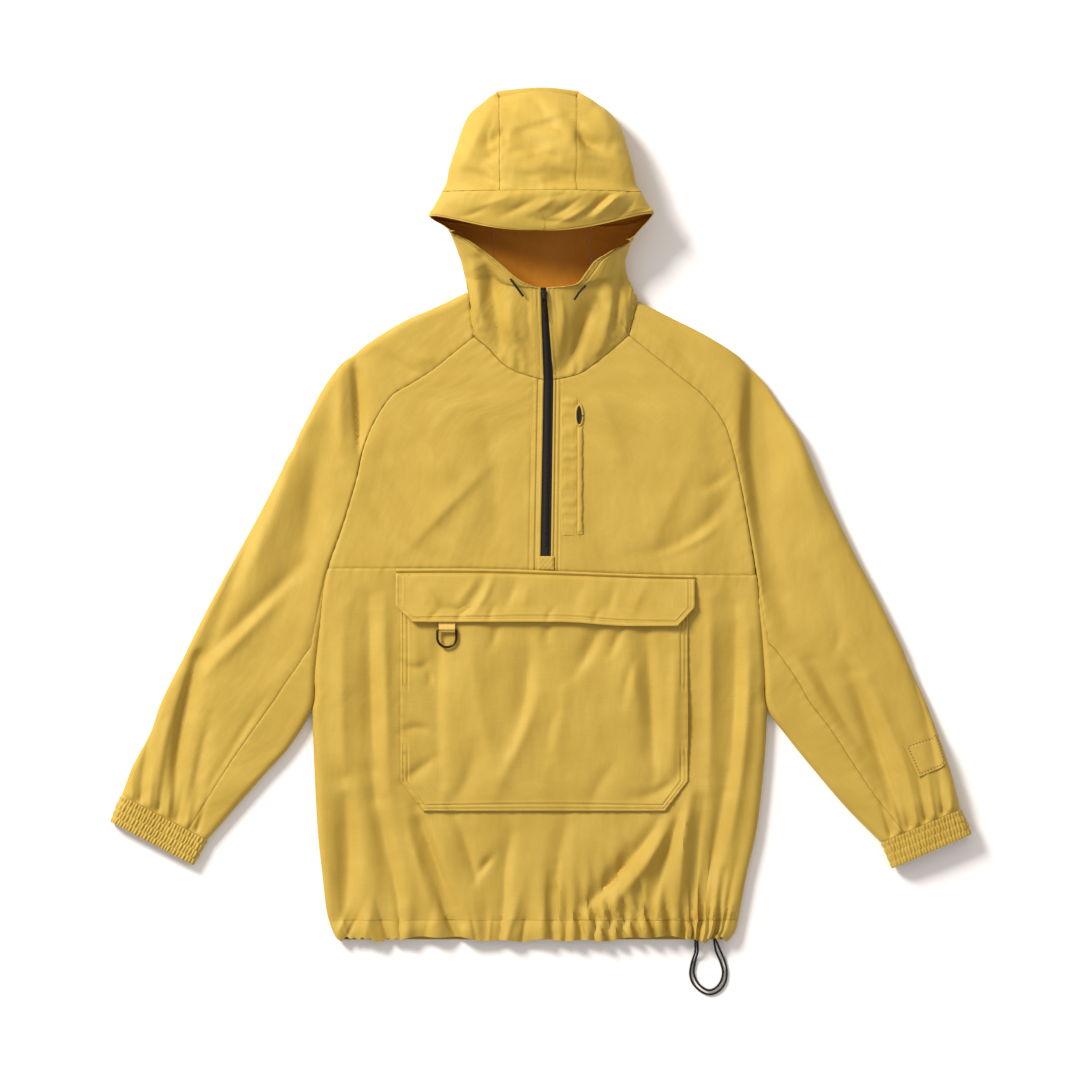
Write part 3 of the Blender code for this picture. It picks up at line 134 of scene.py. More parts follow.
SHIFT = np.array([-0.5, 0.9, 0])     # millimetres from the middle of the garment to the middle of its box
WALL = 0.6               # cloth with its seam turnings, as thick as it needs to be to keep its edges
PITCH = 3.4
SEAM = 0.14
FOLD_DEPTH = 3           # the heights in the tables of small folds are told in this unit
FOLD_STEPS = 8           # straight runs that a fold is measured along
FOLD_REACH = 2.6         # half widths out to which a fold is felt
SEAM_HOLD = 0.75         # share of a fold that a seam holds flat, and how far in it does so
SEAM_HOLD_REACH = 8
PUCKER_REACH = 8
UNDER_LAYER = 3.5        # height of the layers under a cloth, which its troughs stop on
STOP_ROUNDING = 1.5
SEAM_FALL = 0.6          # how far a pressed edge sinks into its seam
SEAM_REACH = 1.5
PUCKER = 0.28            # ripples that a row of stitches draws up
PUCKER_PITCH = 12
LOFT = 15                # height of the upper layer over the table, then of its lowest trough
LEAST_LOFT = 5
CUFF_RISE = 8
ROLL = 9
ROLL_AT_ARMPIT = 3
ROLL_RUN = 28
SEAM_Y = -66
ARMPIT_Y = -232
BODY_HALF = 262
TAU = 2 * np.pi

# y left right: side edges of the body below the armpits
BODY_SIDES = (
    (-232, -274, 272), (-295, -272, 269), (-375, -268, 260), (-434, -262, 247), (-478, -257, 239),
    (-500, -250, 234), (-512, -243, 226),
)
# x_in y_in x_out y_out seam: inner and outer edge of a sleeve, and where its lengthwise seam lies between them
LEFT_SLEEVE = (
    (-80, 213, -87, 267, -1), (-105, 193, -124, 249, -1), (-130, 173, -163, 232, -1), (-155, 157, -201, 209, -1),
    (-179, 142, -233, 184, -1), (-200, 110, -258, 155, -1), (-213, 78, -281, 113, -1), (-221, 42, -305, 68, -1),
    (-238, -15, -333, 15, -1), (-255.5, -64.5, -367.5, -49.5, -1), (-263, -106, -392, -97, -0.6),
    (-267, -148, -413, -139, -0.08), (-271, -190, -431, -177, 0.12), (-274, -232, -449, -213, 0.25),
    (-300, -277, -466, -249, 0.29), (-331, -312, -478, -277, 0.27), (-361, -346, -491, -307, 0.235),
    (-400, -391, -503, -337, 0.175),
)
RIGHT_SLEEVE = (
    (106, 215, 117, 256, -1), (137, 190, 156, 236, -1), (168, 165, 196, 216, -1), (196, 142, 236, 191, -1),
    (220, 110, 267, 165, -1), (231, 78, 289, 130, -1), (239, 42, 313, 87, -1), (247, 0, 338, 32, -1),
    (259, -72.8, 377, -48, -1), (262, -106, 400, -91, -0.6), (266, -148, 421, -133, -0.06),
    (269, -190, 440, -173, 0.15), (272, -232, 459, -213, 0.255), (297, -268, 471, -245, 0.285),
    (331, -310, 484, -283, 0.275), (368, -353, 495, -318, 0.26), (409, -394, 504, -354, 0.25),
)
# x y: neck seam from the zip to the raglan seam, then along the shoulder
LEFT_NECK = ((3.7, 161), (-29, 171), (-47, 182), (-63, 199), (-80, 213), (-87, 267))
RIGHT_NECK = ((15.5, 161), (45, 168), (63, 179), (90, 201), (106, 215), (117, 256))
# y left right: edges of the cloth along the zip
ZIP_EDGES = ((300, 0, 6), (272, 0, 7), (243, 1.2, 14.2), (161, 3.7, 15.5), (-50, 0, 12.4), (-80, 0, 12.4))
# x1 y1 x2 y2 x3 y3 left right height: the broad folds, each through three places, wide on either side as left
# and right say
BROAD_FOLDS = (
    (-74, 138, -120, 54, -168, -31, 28, 28, 3), (119, 160, 178, 78, 190, -31, 30, 30, 3),
    (208, 100, 218, 18, 232, -55, 18, 18, -2.5), (-177, -60, -176, -110, -172, -165, 18, 18, -2.5),
    (-205, -80, -207, -250, -197, -400, 26, 26, 3.5), (-147, -361, -119, -420, -106, -481, 20, 20, 3.5),
    (-95, -370, -78, -420, -66, -470, 20, 20, -2.5), (150, -362, 110, -430, 62, -495, 20, 20, 3.5),
    (178, -334, 160, -420, 127, -495, 20, 20, 3.5), (206, -300, 206, -400, 190, -490, 20, 20, 3),
    (233, -127, 239, -223, 226, -343, 20, 20, 2.5), (-267, 78, -290, -55, -335, -125, 24, 24, -3.5),
    (-305, 50, -328, -40, -376, -130, 24, 24, 2.5), (-411, -177, -430, -230, -448, -362, 20, 20, -3.5),
    (-220, 184, -222, 130, -226, 76, 20, 20, -3), (256, 150, 266, 90, 280, 5, 20, 20, -4),
    (295, 120, 310, 60, 335, -20, 24, 24, 3.5), (371, -193, 398, -270, 433, -378, 20, 20, -3.5),
    (335, -60, 374, -150, 405, -235, 24, 24, 3),
)


def unit(value):
    return np.clip(value, 0, 1)


def smooth(value):
    share = unit(value)
    return share * share * (3 - 2 * share)


def mix(first, second, share):
    return first + (second - first) * share


def bell(offset, half):
    return np.exp(-(offset / half) ** 2)


def pick(test, first, second):
    """Places of one surface where the test holds, and of another elsewhere."""
    return np.where(test[..., None], first, second)


def points(x, y, z):
    return np.stack(np.broadcast_arrays(x, y, z), axis=-1)


def table_value(table, column, row):
    """Smooth curve through one column of a table, at a fractional row."""
    values = np.array([line[column] for line in table], float)
    last = len(values) - 1
    start = np.clip(np.floor(row).astype(int), 0, last - 1)
    share = row - start
    before, first, second, after = (values[np.clip(start + k, 0, last)] for k in (-1, 0, 1, 2))
    slope_a, slope_b = (second - before) / 2, (after - first) / 2
    cubic = 2 * (first - second) + slope_a + slope_b
    square = 3 * (second - first) - 2 * slope_a - slope_b
    return ((cubic * share + square) * share + slope_a) * share + first


def body_outline(table, column):
    """Places down one edge of the body: along the sleeve's inner edge to the armpit, then down the side."""
    fine = np.linspace(0, len(table) - 1, 40 * len(table))
    x, y = table_value(table, 0, fine), table_value(table, 1, fine)
    upper = y > ARMPIT_Y
    fine = np.linspace(0, len(BODY_SIDES) - 1, 200)
    side_x, side_y = table_value(BODY_SIDES, column, fine), table_value(BODY_SIDES, 0, fine)
    return np.concatenate([x[upper], side_x])[::-1], np.concatenate([y[upper], side_y])[::-1]


BODY_OUTLINES = {-1: body_outline(LEFT_SLEEVE, 1), 1: body_outline(RIGHT_SLEEVE, 2)}


def body_edge(side, y):
    x, heights = BODY_OUTLINES[side]
    return np.interp(y, heights, x)


def fold_height(folds, x, y, power=2.0):
    """Height of folds that fade towards both ends; a lower power gives a sharper crest."""
    x, y = np.broadcast_arrays(x, y)
    total = np.zeros(x.shape)
    stops = np.linspace(0, 1, FOLD_STEPS + 1)
    for x1, y1, x2, y2, x3, y3, left, right, height in folds:
        reach = FOLD_REACH * max(left, right)
        near = (x > min(x1, x2, x3) - reach) & (x < max(x1, x2, x3) + reach)
        near &= (y > min(y1, y2, y3) - reach) & (y < max(y1, y2, y3) + reach)
        here_x, here_y = x[near], y[near]
        nearest = np.full(here_x.shape, 1e9)
        place = np.zeros(here_x.shape)
        half = np.full(here_x.shape, float(left))
        line_x, line_y = ((1 - stops) ** 2 * start + 2 * stops * (1 - stops) * (2 * middle - (start + end) / 2)
                          + stops ** 2 * end for start, middle, end in ((x1, x2, x3), (y1, y2, y3)))
        for k in range(FOLD_STEPS):
            run_x, run_y = line_x[k + 1] - line_x[k], line_y[k + 1] - line_y[k]
            off_x, off_y = here_x - line_x[k], here_y - line_y[k]
            share = unit((off_x * run_x + off_y * run_y) / (run_x * run_x + run_y * run_y))
            distance = np.hypot(off_x - share * run_x, off_y - share * run_y)
            closer = distance < nearest
            nearest = np.where(closer, distance, nearest)
            place = np.where(closer, (k + share) / FOLD_STEPS, place)
            lean = 0.5 + 0.5 * np.tanh((run_x * off_y - run_y * off_x) / np.hypot(run_x, run_y) / 3)
            half = np.where(closer, mix(right, left, lean), half)
        taper = np.sin(np.pi * np.clip(place, 0.08, 0.92)) ** 0.7
        total[near] += height * taper * np.exp(-(nearest / half) ** power)
    return total


def small_folds(folds, base):
    return FOLD_DEPTH * fold_height(folds, base[..., 0], base[..., 1], 1.6)


def layer_height(x, y):
    """Height of the upper layer of the body and sleeves, before its edges roll down."""
    cuff_rise = CUFF_RISE * smooth((x - 360) / 110) * smooth((-y - 200) / 150)
    return np.maximum(LOFT + cuff_rise - smooth((-y - 440) / 60) + fold_height(BROAD_FOLDS, x, y), LEAST_LOFT)


def seam_angle(y):
    """Where a rolled edge starts: 90 is level, 0 stands upright, -90 is tucked under on the table."""
    return np.interp(y, [ARMPIT_Y, ARMPIT_Y + ROLL_RUN, 0, 110, 175, 213], [-90, 26, 62, 74, 80, 83])


def under_reach(y):
    return np.interp(y, [ARMPIT_Y - 40, ARMPIT_Y], [ROLL, ROLL_AT_ARMPIT])


def roll(share, start, under):
    """Distance in from a rolled edge and share of the height, at share 0 to 1 round the roll."""
    angle = np.radians(start + (90 - start) * share)
    upper = ROLL * (np.where(start >= 0, np.cos(np.radians(start)), 1) - np.cos(angle))
    return np.where(angle < 0, under * (1 - np.cos(angle)), upper), (1 + np.sin(angle)) / 2


def across(u, width, start, under, far_start, far_under, gap, far_gap):
    """Place across a layer, u -1 to 0 round the near edge, 0 to 1 between, 1 to 2 round the far edge."""
    near, near_level = roll(np.clip(u + 1, -0.2, 1), start, under)
    far, far_level = roll(np.clip(2 - u, -0.2, 1), far_start, far_under)
    near_top = gap + roll(np.ones_like(u), start, under)[0]
    far_top = width - far_gap - roll(np.ones_like(u), far_start, far_under)[0]
    place = np.where(u < 0, gap + near, np.where(u > 1, width - far_gap - far, mix(near_top, far_top, u)))
    return place, np.where(u < 0, near_level, np.where(u > 1, far_level, 1))


def seam_drop(x):
    """The pocket seam runs a little lower towards +X."""
    return 1.5 - 8.3 * smooth((x + 100) / 290)


def front_upper(side, v, u):
    """Upper front panel, v 0 at the neck seam to 1 at the pocket seam, u from the raglan seam to the zip."""
    neck = np.array(LEFT_NECK if side < 0 else RIGHT_NECK, float)
    edges = np.array(ZIP_EDGES, float)[::-1]
    drop_side, drop_zip = seam_drop(side * BODY_HALF), seam_drop(0)
    y_side = mix(neck[4][1], SEAM_Y, v) + drop_side * v ** 3
    y_zip = mix(neck[0][1], SEAM_Y, v) + drop_zip * v ** 3
    x_side = body_edge(side, y_side)
    x_zip = np.interp(y_zip, edges[:, 0], edges[:, 1 if side < 0 else 2])
    width = np.hypot(x_zip - x_side, y_zip - y_side)
    place, level = across(u, width, seam_angle(y_side), ROLL, np.full_like(width, 89), ROLL, SEAM / 2, 0)
    share = place / width
    x, y = mix(x_side, x_zip, share), mix(y_side, y_zip, share)
    top = np.clip(1 - v, 0, 1.1) ** 2.5
    curve_row = 4 * (1 - unit(share))
    x = x + (table_value(neck[:5], 0, curve_row) - mix(neck[4][0], neck[0][0], share)) * top
    y = y + (table_value(neck[:5], 1, curve_row) - mix(neck[4][1], neck[0][1], share)) * top
    y = y + (seam_drop(x) - mix(drop_side, drop_zip, share)) * v ** 3
    return points(x, y, layer_height(x, y) * level)


def facing(surface, row, column, step=0.004):
    """Unit normal of a surface."""
    along = surface(row + step, column) - surface(row - step, column)
    side = surface(row, column + step) - surface(row, column - step)
    normal = np.cross(side, along)
    return normal / np.linalg.norm(normal, axis=-1, keepdims=True)


def lines(start, end, length, close="both", pitch=PITCH):
    """Values from start to end along a stretch of that many millimetres, closer together at its seams."""
    offsets = [0, 0.5, 1.1, 1.9, 3, 4.6]
    first = offsets if close in ("both", "start") else [0]
    last = offsets if close in ("both", "end") else [0]
    count = max(int(round((length - first[-1] - last[-1]) / pitch)), 2)
    middle = np.linspace(first[-1], length - last[-1], count + 1)
    return mix(start, end, np.concatenate([first[:-1], middle, length - np.array(last[:-1][::-1])]) / length)


def joined(*runs):
    """Runs of values end to end, the value that two of them share taken once."""
    return np.concatenate([run[:-1] for run in runs[:-1]] + [runs[-1]])


def arcs(base, axis):
    """Distance along a grid of places from its first line."""
    steps = np.linalg.norm(np.diff(base, axis=axis), axis=-1)
    first = np.zeros_like(np.take(base[..., 0], [0], axis=axis))
    return np.concatenate([first, np.cumsum(steps, axis=axis)], axis=axis)


def cloth(name, surface, rows, columns, turn, folds=(), seams="", keep=None, ring=False, wall=WALL,
          extra=None):
    """Thin closed shell of cloth over a grid of a surface, with folds, pressed edges (n s w e) and puckers.

    At an edge named by a capital letter a seam holds the folds nearly flat.
    """
    row, column = np.meshgrid(np.asarray(rows, float), np.asarray(columns, float), indexing="ij")
    base = surface(row, column)
    normal = turn * facing(surface, row, column)
    rise = small_folds(folds, base)
    along, side = arcs(base, 0), arcs(base, 1)
    to_seam = {"n": along, "s": along[-1:] - along, "w": side, "e": side[:, -1:] - side}
    for letter in seams:
        if letter.isupper():
            rise = rise * (1 - SEAM_HOLD * bell(to_seam[letter.lower()], SEAM_HOLD_REACH))
    for letter in seams.lower():
        distance, run = to_seam[letter], side if letter in "ns" else along
        ripple = np.sin(TAU * run / PUCKER_PITCH + 2 * np.sin(run / 29) + len(name))
        ripple = ripple + 0.6 * np.sin(TAU * run / (1.7 * PUCKER_PITCH) + 1.3 * np.sin(run / 47))
        rise = rise + PUCKER * ripple * np.exp(-distance / PUCKER_REACH)
        rise = rise - SEAM_FALL * bell(distance, SEAM_REACH)
    if extra is not None:
        rise = rise + extra(row, column, base)
    rise = rise * smooth(base[..., 2] / LEAST_LOFT)      # cloth that lies on the table lies flat
    floor = -np.maximum(base[..., 2] - UNDER_LAYER, 0)
    limited = floor + STOP_ROUNDING * np.logaddexp(0, (rise - floor) / STOP_ROUNDING)
    rise = mix(rise, limited, smooth((base[..., 2] - LEAST_LOFT) / 3))
    outer = base + normal * rise[..., None]
    outer[..., 2] = np.maximum(outer[..., 2], 0)
    inner = outer - wall * normal
    inner[..., 2] = np.maximum(inner[..., 2], 0)
    index = np.arange(row.size).reshape(row.shape)
    if ring:
        index = np.column_stack([index, index[:, 0]])
    quads = np.stack([index[:-1, :-1], index[:-1, 1:], index[1:, 1:], index[1:, :-1]], axis=-1)
    if keep is not None:
        quads = quads[keep((row[:-1, :-1] + row[1:, :-1]) / 2, (column[:-1, :-1] + column[:-1, 1:]) / 2)]
    quads = quads.reshape(-1, 4)
    wound = np.cross(base[:-1, 1:] - base[:-1, :-1], base[1:, :-1] - base[:-1, :-1])
    if np.sum(wound * normal[:-1, :-1]) < 0:
        quads = quads[:, ::-1]
    grain = points(side, along, 0)
    return shell(name, outer.reshape(-1, 3), inner.reshape(-1, 3), quads, grain.reshape(-1, 3))


def shell(name, outer, inner, quads, grain):
    """Mesh of both faces of a cloth and its rim, with the cut's own coordinates as the attribute grain."""
    used, quads = np.unique(quads, return_inverse=True)
    quads = quads.reshape(-1, 4)
    total = len(used)
    starts, ends = quads.ravel(), np.roll(quads, -1, axis=1).ravel()
    rim = ~np.isin(starts.astype(np.int64) * total + ends, ends.astype(np.int64) * total + starts)
    rims = np.stack([ends[rim], starts[rim], starts[rim] + total, ends[rim] + total], axis=-1)
    faces = np.concatenate([quads, quads[:, ::-1] + total, rims])
    item = mesh_piece(name, np.concatenate([outer[used], inner[used]]) + SHIFT, faces,
                      np.concatenate([grain[used], grain[used]]))
    sides = np.zeros(len(faces), np.int32)
    sides[len(quads):2 * len(quads)] = 1
    item.data.polygons.foreach_set("material_index", sides)
    return item


def mesh_piece(name, places, faces, grain=None, sharp=50):
    """Smooth-shaded object of places in millimetres."""
    mesh = bpy.data.meshes.new(name)
    mesh.from_pydata((np.asarray(places) * MM).tolist(), [], [list(map(int, face)) for face in faces])
    mesh.shade_smooth()
    mesh.set_sharp_from_angle(angle=math.radians(sharp))
    if grain is not None:
        layer = mesh.attributes.new("grain", "FLOAT_VECTOR", "POINT")
        layer.data.foreach_set("vector", np.asarray(grain, np.float32).ravel())
    return new_object(name, mesh)


# Plain-woven nylon, piece-dyed mustard yellow and left matt: the yarns scatter the light, so lit folds turn
# pale and deep ones turn to a warm gold. Real yarns are 0.2 mm apart; they are drawn 1 mm apart to show.
WAVE_UNIT = 0.314        # a wave texture repeats every 0.314 divided by its scale
YARN = 1
SLUB = (1 / 0.7, 1 / 26)                 # an uneven yarn is 0.7 mm wide and 26 mm long
CRINKLES = ((90, 7), (21, 0.9))          # length and height of the faint swells in the cloth, in mm


def woven_nylon(name, light, dark, deep):
    material, tree = new_material(name)
    cut = add_node(tree, "Attribute", out="Vector", attribute_name="grain")
    slubs, yarns, swell = [], [], {}
    for stretch, direction in ((SLUB, "X"), (SLUB[::-1], "Y")):
        drawn = add_node(tree, "VectorMath", {0: cut, 1: (*stretch, 0)}, operation="MULTIPLY")
        slubs.append(add_node(tree, "TexNoise", {"Vector": drawn, "Scale": 1, "Detail": 3}, "Fac"))
        yarns.append(add_node(tree, "TexWave", {"Vector": cut, "Scale": WAVE_UNIT / YARN, "Distortion": 0.4,
                                                "Detail": 1}, "Fac", bands_direction=direction))
    uneven = add_node(tree, "Math", {0: slubs[0], 1: slubs[1]}, operation="ADD")
    weave = add_node(tree, "Math", {0: yarns[0], 1: yarns[1]}, operation="MULTIPLY")
    threads = add_node(tree, "Math", {0: uneven, 1: weave}, operation="ADD")
    tone = add_node(tree, "MapRange", {"Value": uneven, "From Min": 0.6, "From Max": 1.4})
    base = add_node(tree, "Mix", {"Factor": tone, 6: linear(dark), 7: linear(light)}, 2, data_type="RGBA")
    cloud = add_node(tree, "TexNoise", {"Vector": cut, "Scale": 0.018, "Detail": 4}, "Fac")
    patchy = add_node(tree, "MapRange", {"Value": cloud, "From Min": 0.35, "From Max": 0.7, "To Max": 0.35})
    colour = add_node(tree, "Mix", {"Factor": patchy, 6: base, 7: linear(deep)}, 2, data_type="RGBA")
    rough = add_node(tree, "MapRange", {"Value": cloud, "From Min": 0.3, "From Max": 0.7, "To Min": 0.62,
                                        "To Max": 0.74})
    for reach, depth in CRINKLES:
        drawn = add_node(tree, "VectorMath", {0: cut, 1: (1.4 / reach, 0.7 / reach, 0)}, operation="MULTIPLY")
        crumple = add_node(tree, "TexNoise", {"Vector": drawn, "Scale": 1, "Detail": 1.5, "Roughness": 0.4},
                           "Fac")
        swell["Normal"] = add_node(tree, "Bump", {"Height": crumple, "Strength": 1, "Distance": depth * MM,
                                                  **swell})
    relief = add_node(tree, "Bump", {"Height": threads, "Strength": 0.35, "Distance": 0.00012, **swell})
    shader = add_node(tree, "BsdfPrincipled", {
        "Base Color": colour, "Roughness": rough, "Normal": relief, "Specular IOR Level": 0.35,
        "Sheen Weight": 0.12, "Sheen Roughness": 0.45, "Sheen Tint": linear(light)})
    add_node(tree, "OutputMaterial", {"Surface": shader})
    return material


yellow_nylon = woven_nylon("woven nylon, mustard", "#B99D44", "#AF9038", "#A17F25")
# The same cloth seen from its back, under a thin clear coat of polyurethane. Its darker, warmer colour is
# painted shade, standing in for the warm shade inside the hood and the other hollows.
shaded_back = woven_nylon("woven nylon, coated back", "#C8800A", "#B87206", "#A06000")


def dress(piece, material, *nodes, body="garment", slot="nylon"):
    """Gives a piece its finish, its body and the solids that it stands for."""
    piece.data.materials.append(material)
    # The inner faces take the back's colour, with its painted shade.
    if material is yellow_nylon:
        piece.data.materials.append(shaded_back)
    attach(piece, body)
    if nodes:
        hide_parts(*nodes)
    return piece


UPPER_FOLDS = (
    (-60, 60, -110, 10, -160, -42, 7, 14, 1.2), (-190, 66, -150, 4, -90, -40, 12, 16, -1.3),
    (-206, 24, -176, -24, -130, -52, 8, 10, -1.1), (-150, 96, -120, 60, -96, 40, 8, 14, 0.8),
    (60, 150, 80, 118, 96, 70, 10, 18, 0.9), (180, 60, 150, 0, 130, -50, 9, 16, 0.9),
    (232, 34, 182, -26, 110, -50, 12, 10, -1.4), (215, -10, 190, -30, 150, -48, 5, 9, 1.2),
    (-70, 120, -56, 40, -52, -50, 14, 18, -0.9), (236, 60, 214, 40, 190, 30, 5, 8, -0.8),
)
# distance from the edge and depth of each row of stitches that holds down the facing of the zip, left and right
ZIP_GROOVES = {-1: ((6.4, 0.9), (13.6, 0.5)), 1: ((3.6, 0.9), (8.6, 0.6))}


def stitched_edge(distance, grooves):
    """Height near a turned edge: a full lip, then a groove along every row of stitches."""
    total = 0.8 * bell(distance - 1.4, 1.3)
    for place, depth in grooves:
        total = total - depth * bell(distance - place, 0.9) + 0.45 * depth * bell(distance - place - 2.4, 1.3)
    return total


def zip_facing(side, row, column, base):
    run = arcs(base, 1)
    return stitched_edge(run[:, -1:] - run, ZIP_GROOVES[side])


for label, side in (("left", -1), ("right", 1)):
    columns = joined(lines(-1, 0, 12, "start", 2.4), lines(0, 0.93, 223, "none"), np.linspace(0.93, 1, 26))
    fronts = cloth("upper_front_" + label, partial(front_upper, side), lines(0.0005, 0.9994, 280), columns, side,
                   UPPER_FOLDS, "NSW", extra=partial(zip_facing, side))
    dress(fronts, yellow_nylon, "front_upper_" + label)


# -----------------------------------------------------------------------------------------------------------
# Back
# One panel of the same nylon under everything, lying flat on the table from the hem to the neck. It is sewn
# to the sleeves along the raglan seams and to the lower front at the sides.

NECK_BACK = ((-85.8, 258), (114.7, 247.3))
HEM_SEAM_Y = -487
SHOULDER_Y = 213


def back_sheet(t, c):
    """t 0 at the hem to 1 at the shoulder points, then 2 at the neck; c from -X to +X."""
    y = mix(HEM_SEAM_Y, SHOULDER_Y, unit(t))
    inset = SEAM + unit((ARMPIT_Y + ROLL_RUN - y) / ROLL_RUN) * (under_reach(y) + 2 * SEAM)
    rise = unit(t - 1)
    left = body_edge(-1, y) + inset + (NECK_BACK[0][0] - LEFT_SLEEVE[0][0]) * rise
    right = body_edge(1, y) - inset + (NECK_BACK[1][0] - RIGHT_SLEEVE[0][0]) * rise
    low, high = (y + (place[1] - SHOULDER_Y) * rise for place in NECK_BACK)
    return points(mix(left, right, c), mix(low, high, c), 1)


back = cloth("back_cloth", back_sheet, lines(0, 2, 745, pitch=9), lines(0, 1, 500, pitch=9), 1)
dress(back, yellow_nylon, "back_panel")


# -----------------------------------------------------------------------------------------------------------
# Lower front
# One wide panel from the pocket seam to the hem casing. The drawcord gathers its lower edge, so pleats run up
# from the casing, and folds fan out from the corners of the pocket that is sewn on it.

HEM_Y = -510
HEM_GATHER = 3.4
GATHER_REACH = 30
POCKET_LEFT = -168
POCKET_RIGHT = 177

LOWER_FOLDS = (
    (-206, -100, -203, -210, -199, -340, 9, 16, -3.4), (-202, -310, -186, -400, -164, -488, 10, 15, -3.8),
    (-236, -110, -238, -230, -234, -330, 9, 12, 1.4), (-188, -100, -186, -220, -184, -330, 7, 8, 1.3),
    (-238, -318, -231, -400, -236, -482, 10, 14, -4), (-150, -352, -130, -410, -97, -492, 7, 16, -4.2),
    (-162, -352, -146, -420, -124, -488, 9, 6, 1.6), (-103, -361, -84, -410, -78, -440, 4, 8, -1.8),
    (-58, -410, -66, -420, -77, -436, 4, 5, -1.6), (-34, -384, -44, -440, -35, -495, 7, 14, -2.4),
    (20, -420, 16, -460, 20, -503, 5, 8, -1.8), (32, -357, 24, -404, 17, -452, 10, 14, -1.7),
    (142, -366, 110, -410, 52, -468, 6, 9, -2.8), (156, -368, 130, -415, 80, -474, 7, 7, 2.3),
    (169, -356, 150, -408, 131, -478, 7, 9, -2.8), (182, -336, 171, -395, 168, -489, 7, 7, 2.2),
    (196, -340, 185, -420, 180, -488, 6, 9, -2.1), (233, -110, 233, -220, 225, -330, 8, 16, -3),
    (223, -312, 209, -400, 189, -486, 8, 13, -2.8), (204, -100, 204, -220, 202, -335, 9, 8, 2),
    (250, -140, 244, -280, 222, -420, 7, 8, 1.8), (106, -400, 84, -440, 40, -486, 5, 7, -1.6),
)
# folds of the pocket; the cloth under it gives way where they sink
POCKET_FOLDS = (
    (-120, -130, -124, -216, -121, -322, 8, 30, -2.3), (-152, -134, -150, -164, -151, -196, 6, 7, 0.5),
    (-82, -136, -74, -230, -50, -320, 15, 15, 1.5), (-14, -146, -18, -215, -36, -280, 7, 14, -1.8),
    (70, -132, 60, -160, 40, -192, 7, 13, -2.1), (104, -140, 112, -200, 120, -264, 13, 13, 1.6),
    (126, -132, 133, -230, 136, -316, 7, 13, -2.6), (162, -150, 160, -240, 158, -320, 9, 8, 1.6),
    (-2, -216, -26, -275, -54, -336, 9, 12, 1.4), (28, -196, 22, -260, 2, -330, 13, 14, 1),
    (-168, -178, -150, -184, -134, -176, 4, 6, -1), (-168, -262, -148, -256, -130, -262, 5, 7, -1.1),
    (-166, -322, -146, -306, -126, -292, 6, 8, -1.3), (-108, -346, -88, -318, -78, -276, 9, 12, -1.2),
    (168, -304, 146, -330, 110, -340, 8, 9, -1.7), (60, -350, 72, -322, 92, -296, 9, 11, -1),
    (-58, -126, -54, -142, -60, -160, 5, 6, -1.1), (12, -126, 8, -140, 10, -160, 5, 7, -1.1),
    (98, -134, 92, -150, 84, -168, 4, 7, -1.5), (112, -176, 104, -200, 100, -226, 4, 6, -1),
    (-140, -184, -133, -194, -134, -204, 3, 4, -1), (20, -236, 10, -262, 14, -290, 5, 8, -0.8),
)
# x half_width height reach lean: pleats that the drawcord draws up
PLEATS = (
    (-236, 4, 2, 16, 0.4), (-222, 3, -1.6, 14, 0.5), (-206, 6, 1.8, 22, 0.2), (-190, 3, -1.8, 16, -0.3),
    (-171, 4, -2.6, 40, -0.1), (-158, 7, 1.6, 26, 0.1), (-134, 4, -1.2, 16, 0.2), (-110, 4, -2.8, 46, -0.4),
    (-99, 5, 2.2, 30, -0.3), (-82, 3, -1.6, 14, -0.2), (-60, 4, 1.6, 18, 0.1), (-48, 3, -2.4, 38, 0.1),
    (-34, 5, 1.8, 30, 0.3), (-18, 3, -1.4, 12, 0.2), (2, 4, 1.2, 14, 0), (20, 3, -2.4, 44, 0),
    (30, 4, 1.8, 24, -0.2), (45, 3, -1.6, 16, -0.4), (58, 5, 2.2, 40, -0.5), (70, 3, -2.4, 24, -0.5),
    (79, 3, 2.2, 20, -0.4), (88, 3, -2.4, 22, -0.4), (97, 3, 2.4, 26, -0.5), (108, 4, -2.4, 34, -0.4),
    (120, 4, 2.4, 44, -0.4), (131, 3, -2.8, 40, -0.3), (141, 6, 2.6, 30, -0.2), (153, 3, -2.4, 22, -0.1),
    (164, 3, 2.2, 34, 0), (173, 3, -2.6, 30, 0.1), (181, 3, 2.2, 22, 0.2), (191, 3, -2.2, 26, 0.2),
    (203, 5, 2.4, 30, 0.2), (216, 3, -2, 22, 0.3), (225, 3, 1.8, 18, 0.3),
)


def hem_gathers(c, y):
    size = np.interp(c, [0, 1.2, 1.6, 3], [0.7, 0.8, 1, 1]) * smooth(c / 0.15) * smooth((3 - c) / 0.15)
    phase = np.interp(c, [0, 1, 1.5, 2, 3], [0, 2, 6, 16, 21])
    return HEM_GATHER * size * np.exp(-np.maximum(y - HEM_SEAM_Y, 0) / GATHER_REACH) * np.cos(TAU * phase)


def pleats(x, y):
    """Drawn-up pleats near the hem: each leans a little, and is sharper on the side away from its lean."""
    total = np.zeros(x.shape)
    for place, half, height, reach, lean in PLEATS:
        off = np.abs(x - place - lean * (y - HEM_SEAM_Y)) / half
        crest = height * np.exp(-off ** 1.6 - np.maximum(y - HEM_SEAM_Y, 0) / reach)
        total += np.where(off < 5, crest, 0)
    return total


def front_part(c):
    """1 over the front and 0 where its edges roll under."""
    return smooth((c + 0.6) / 0.8) * smooth((3.6 - c) / 0.8)


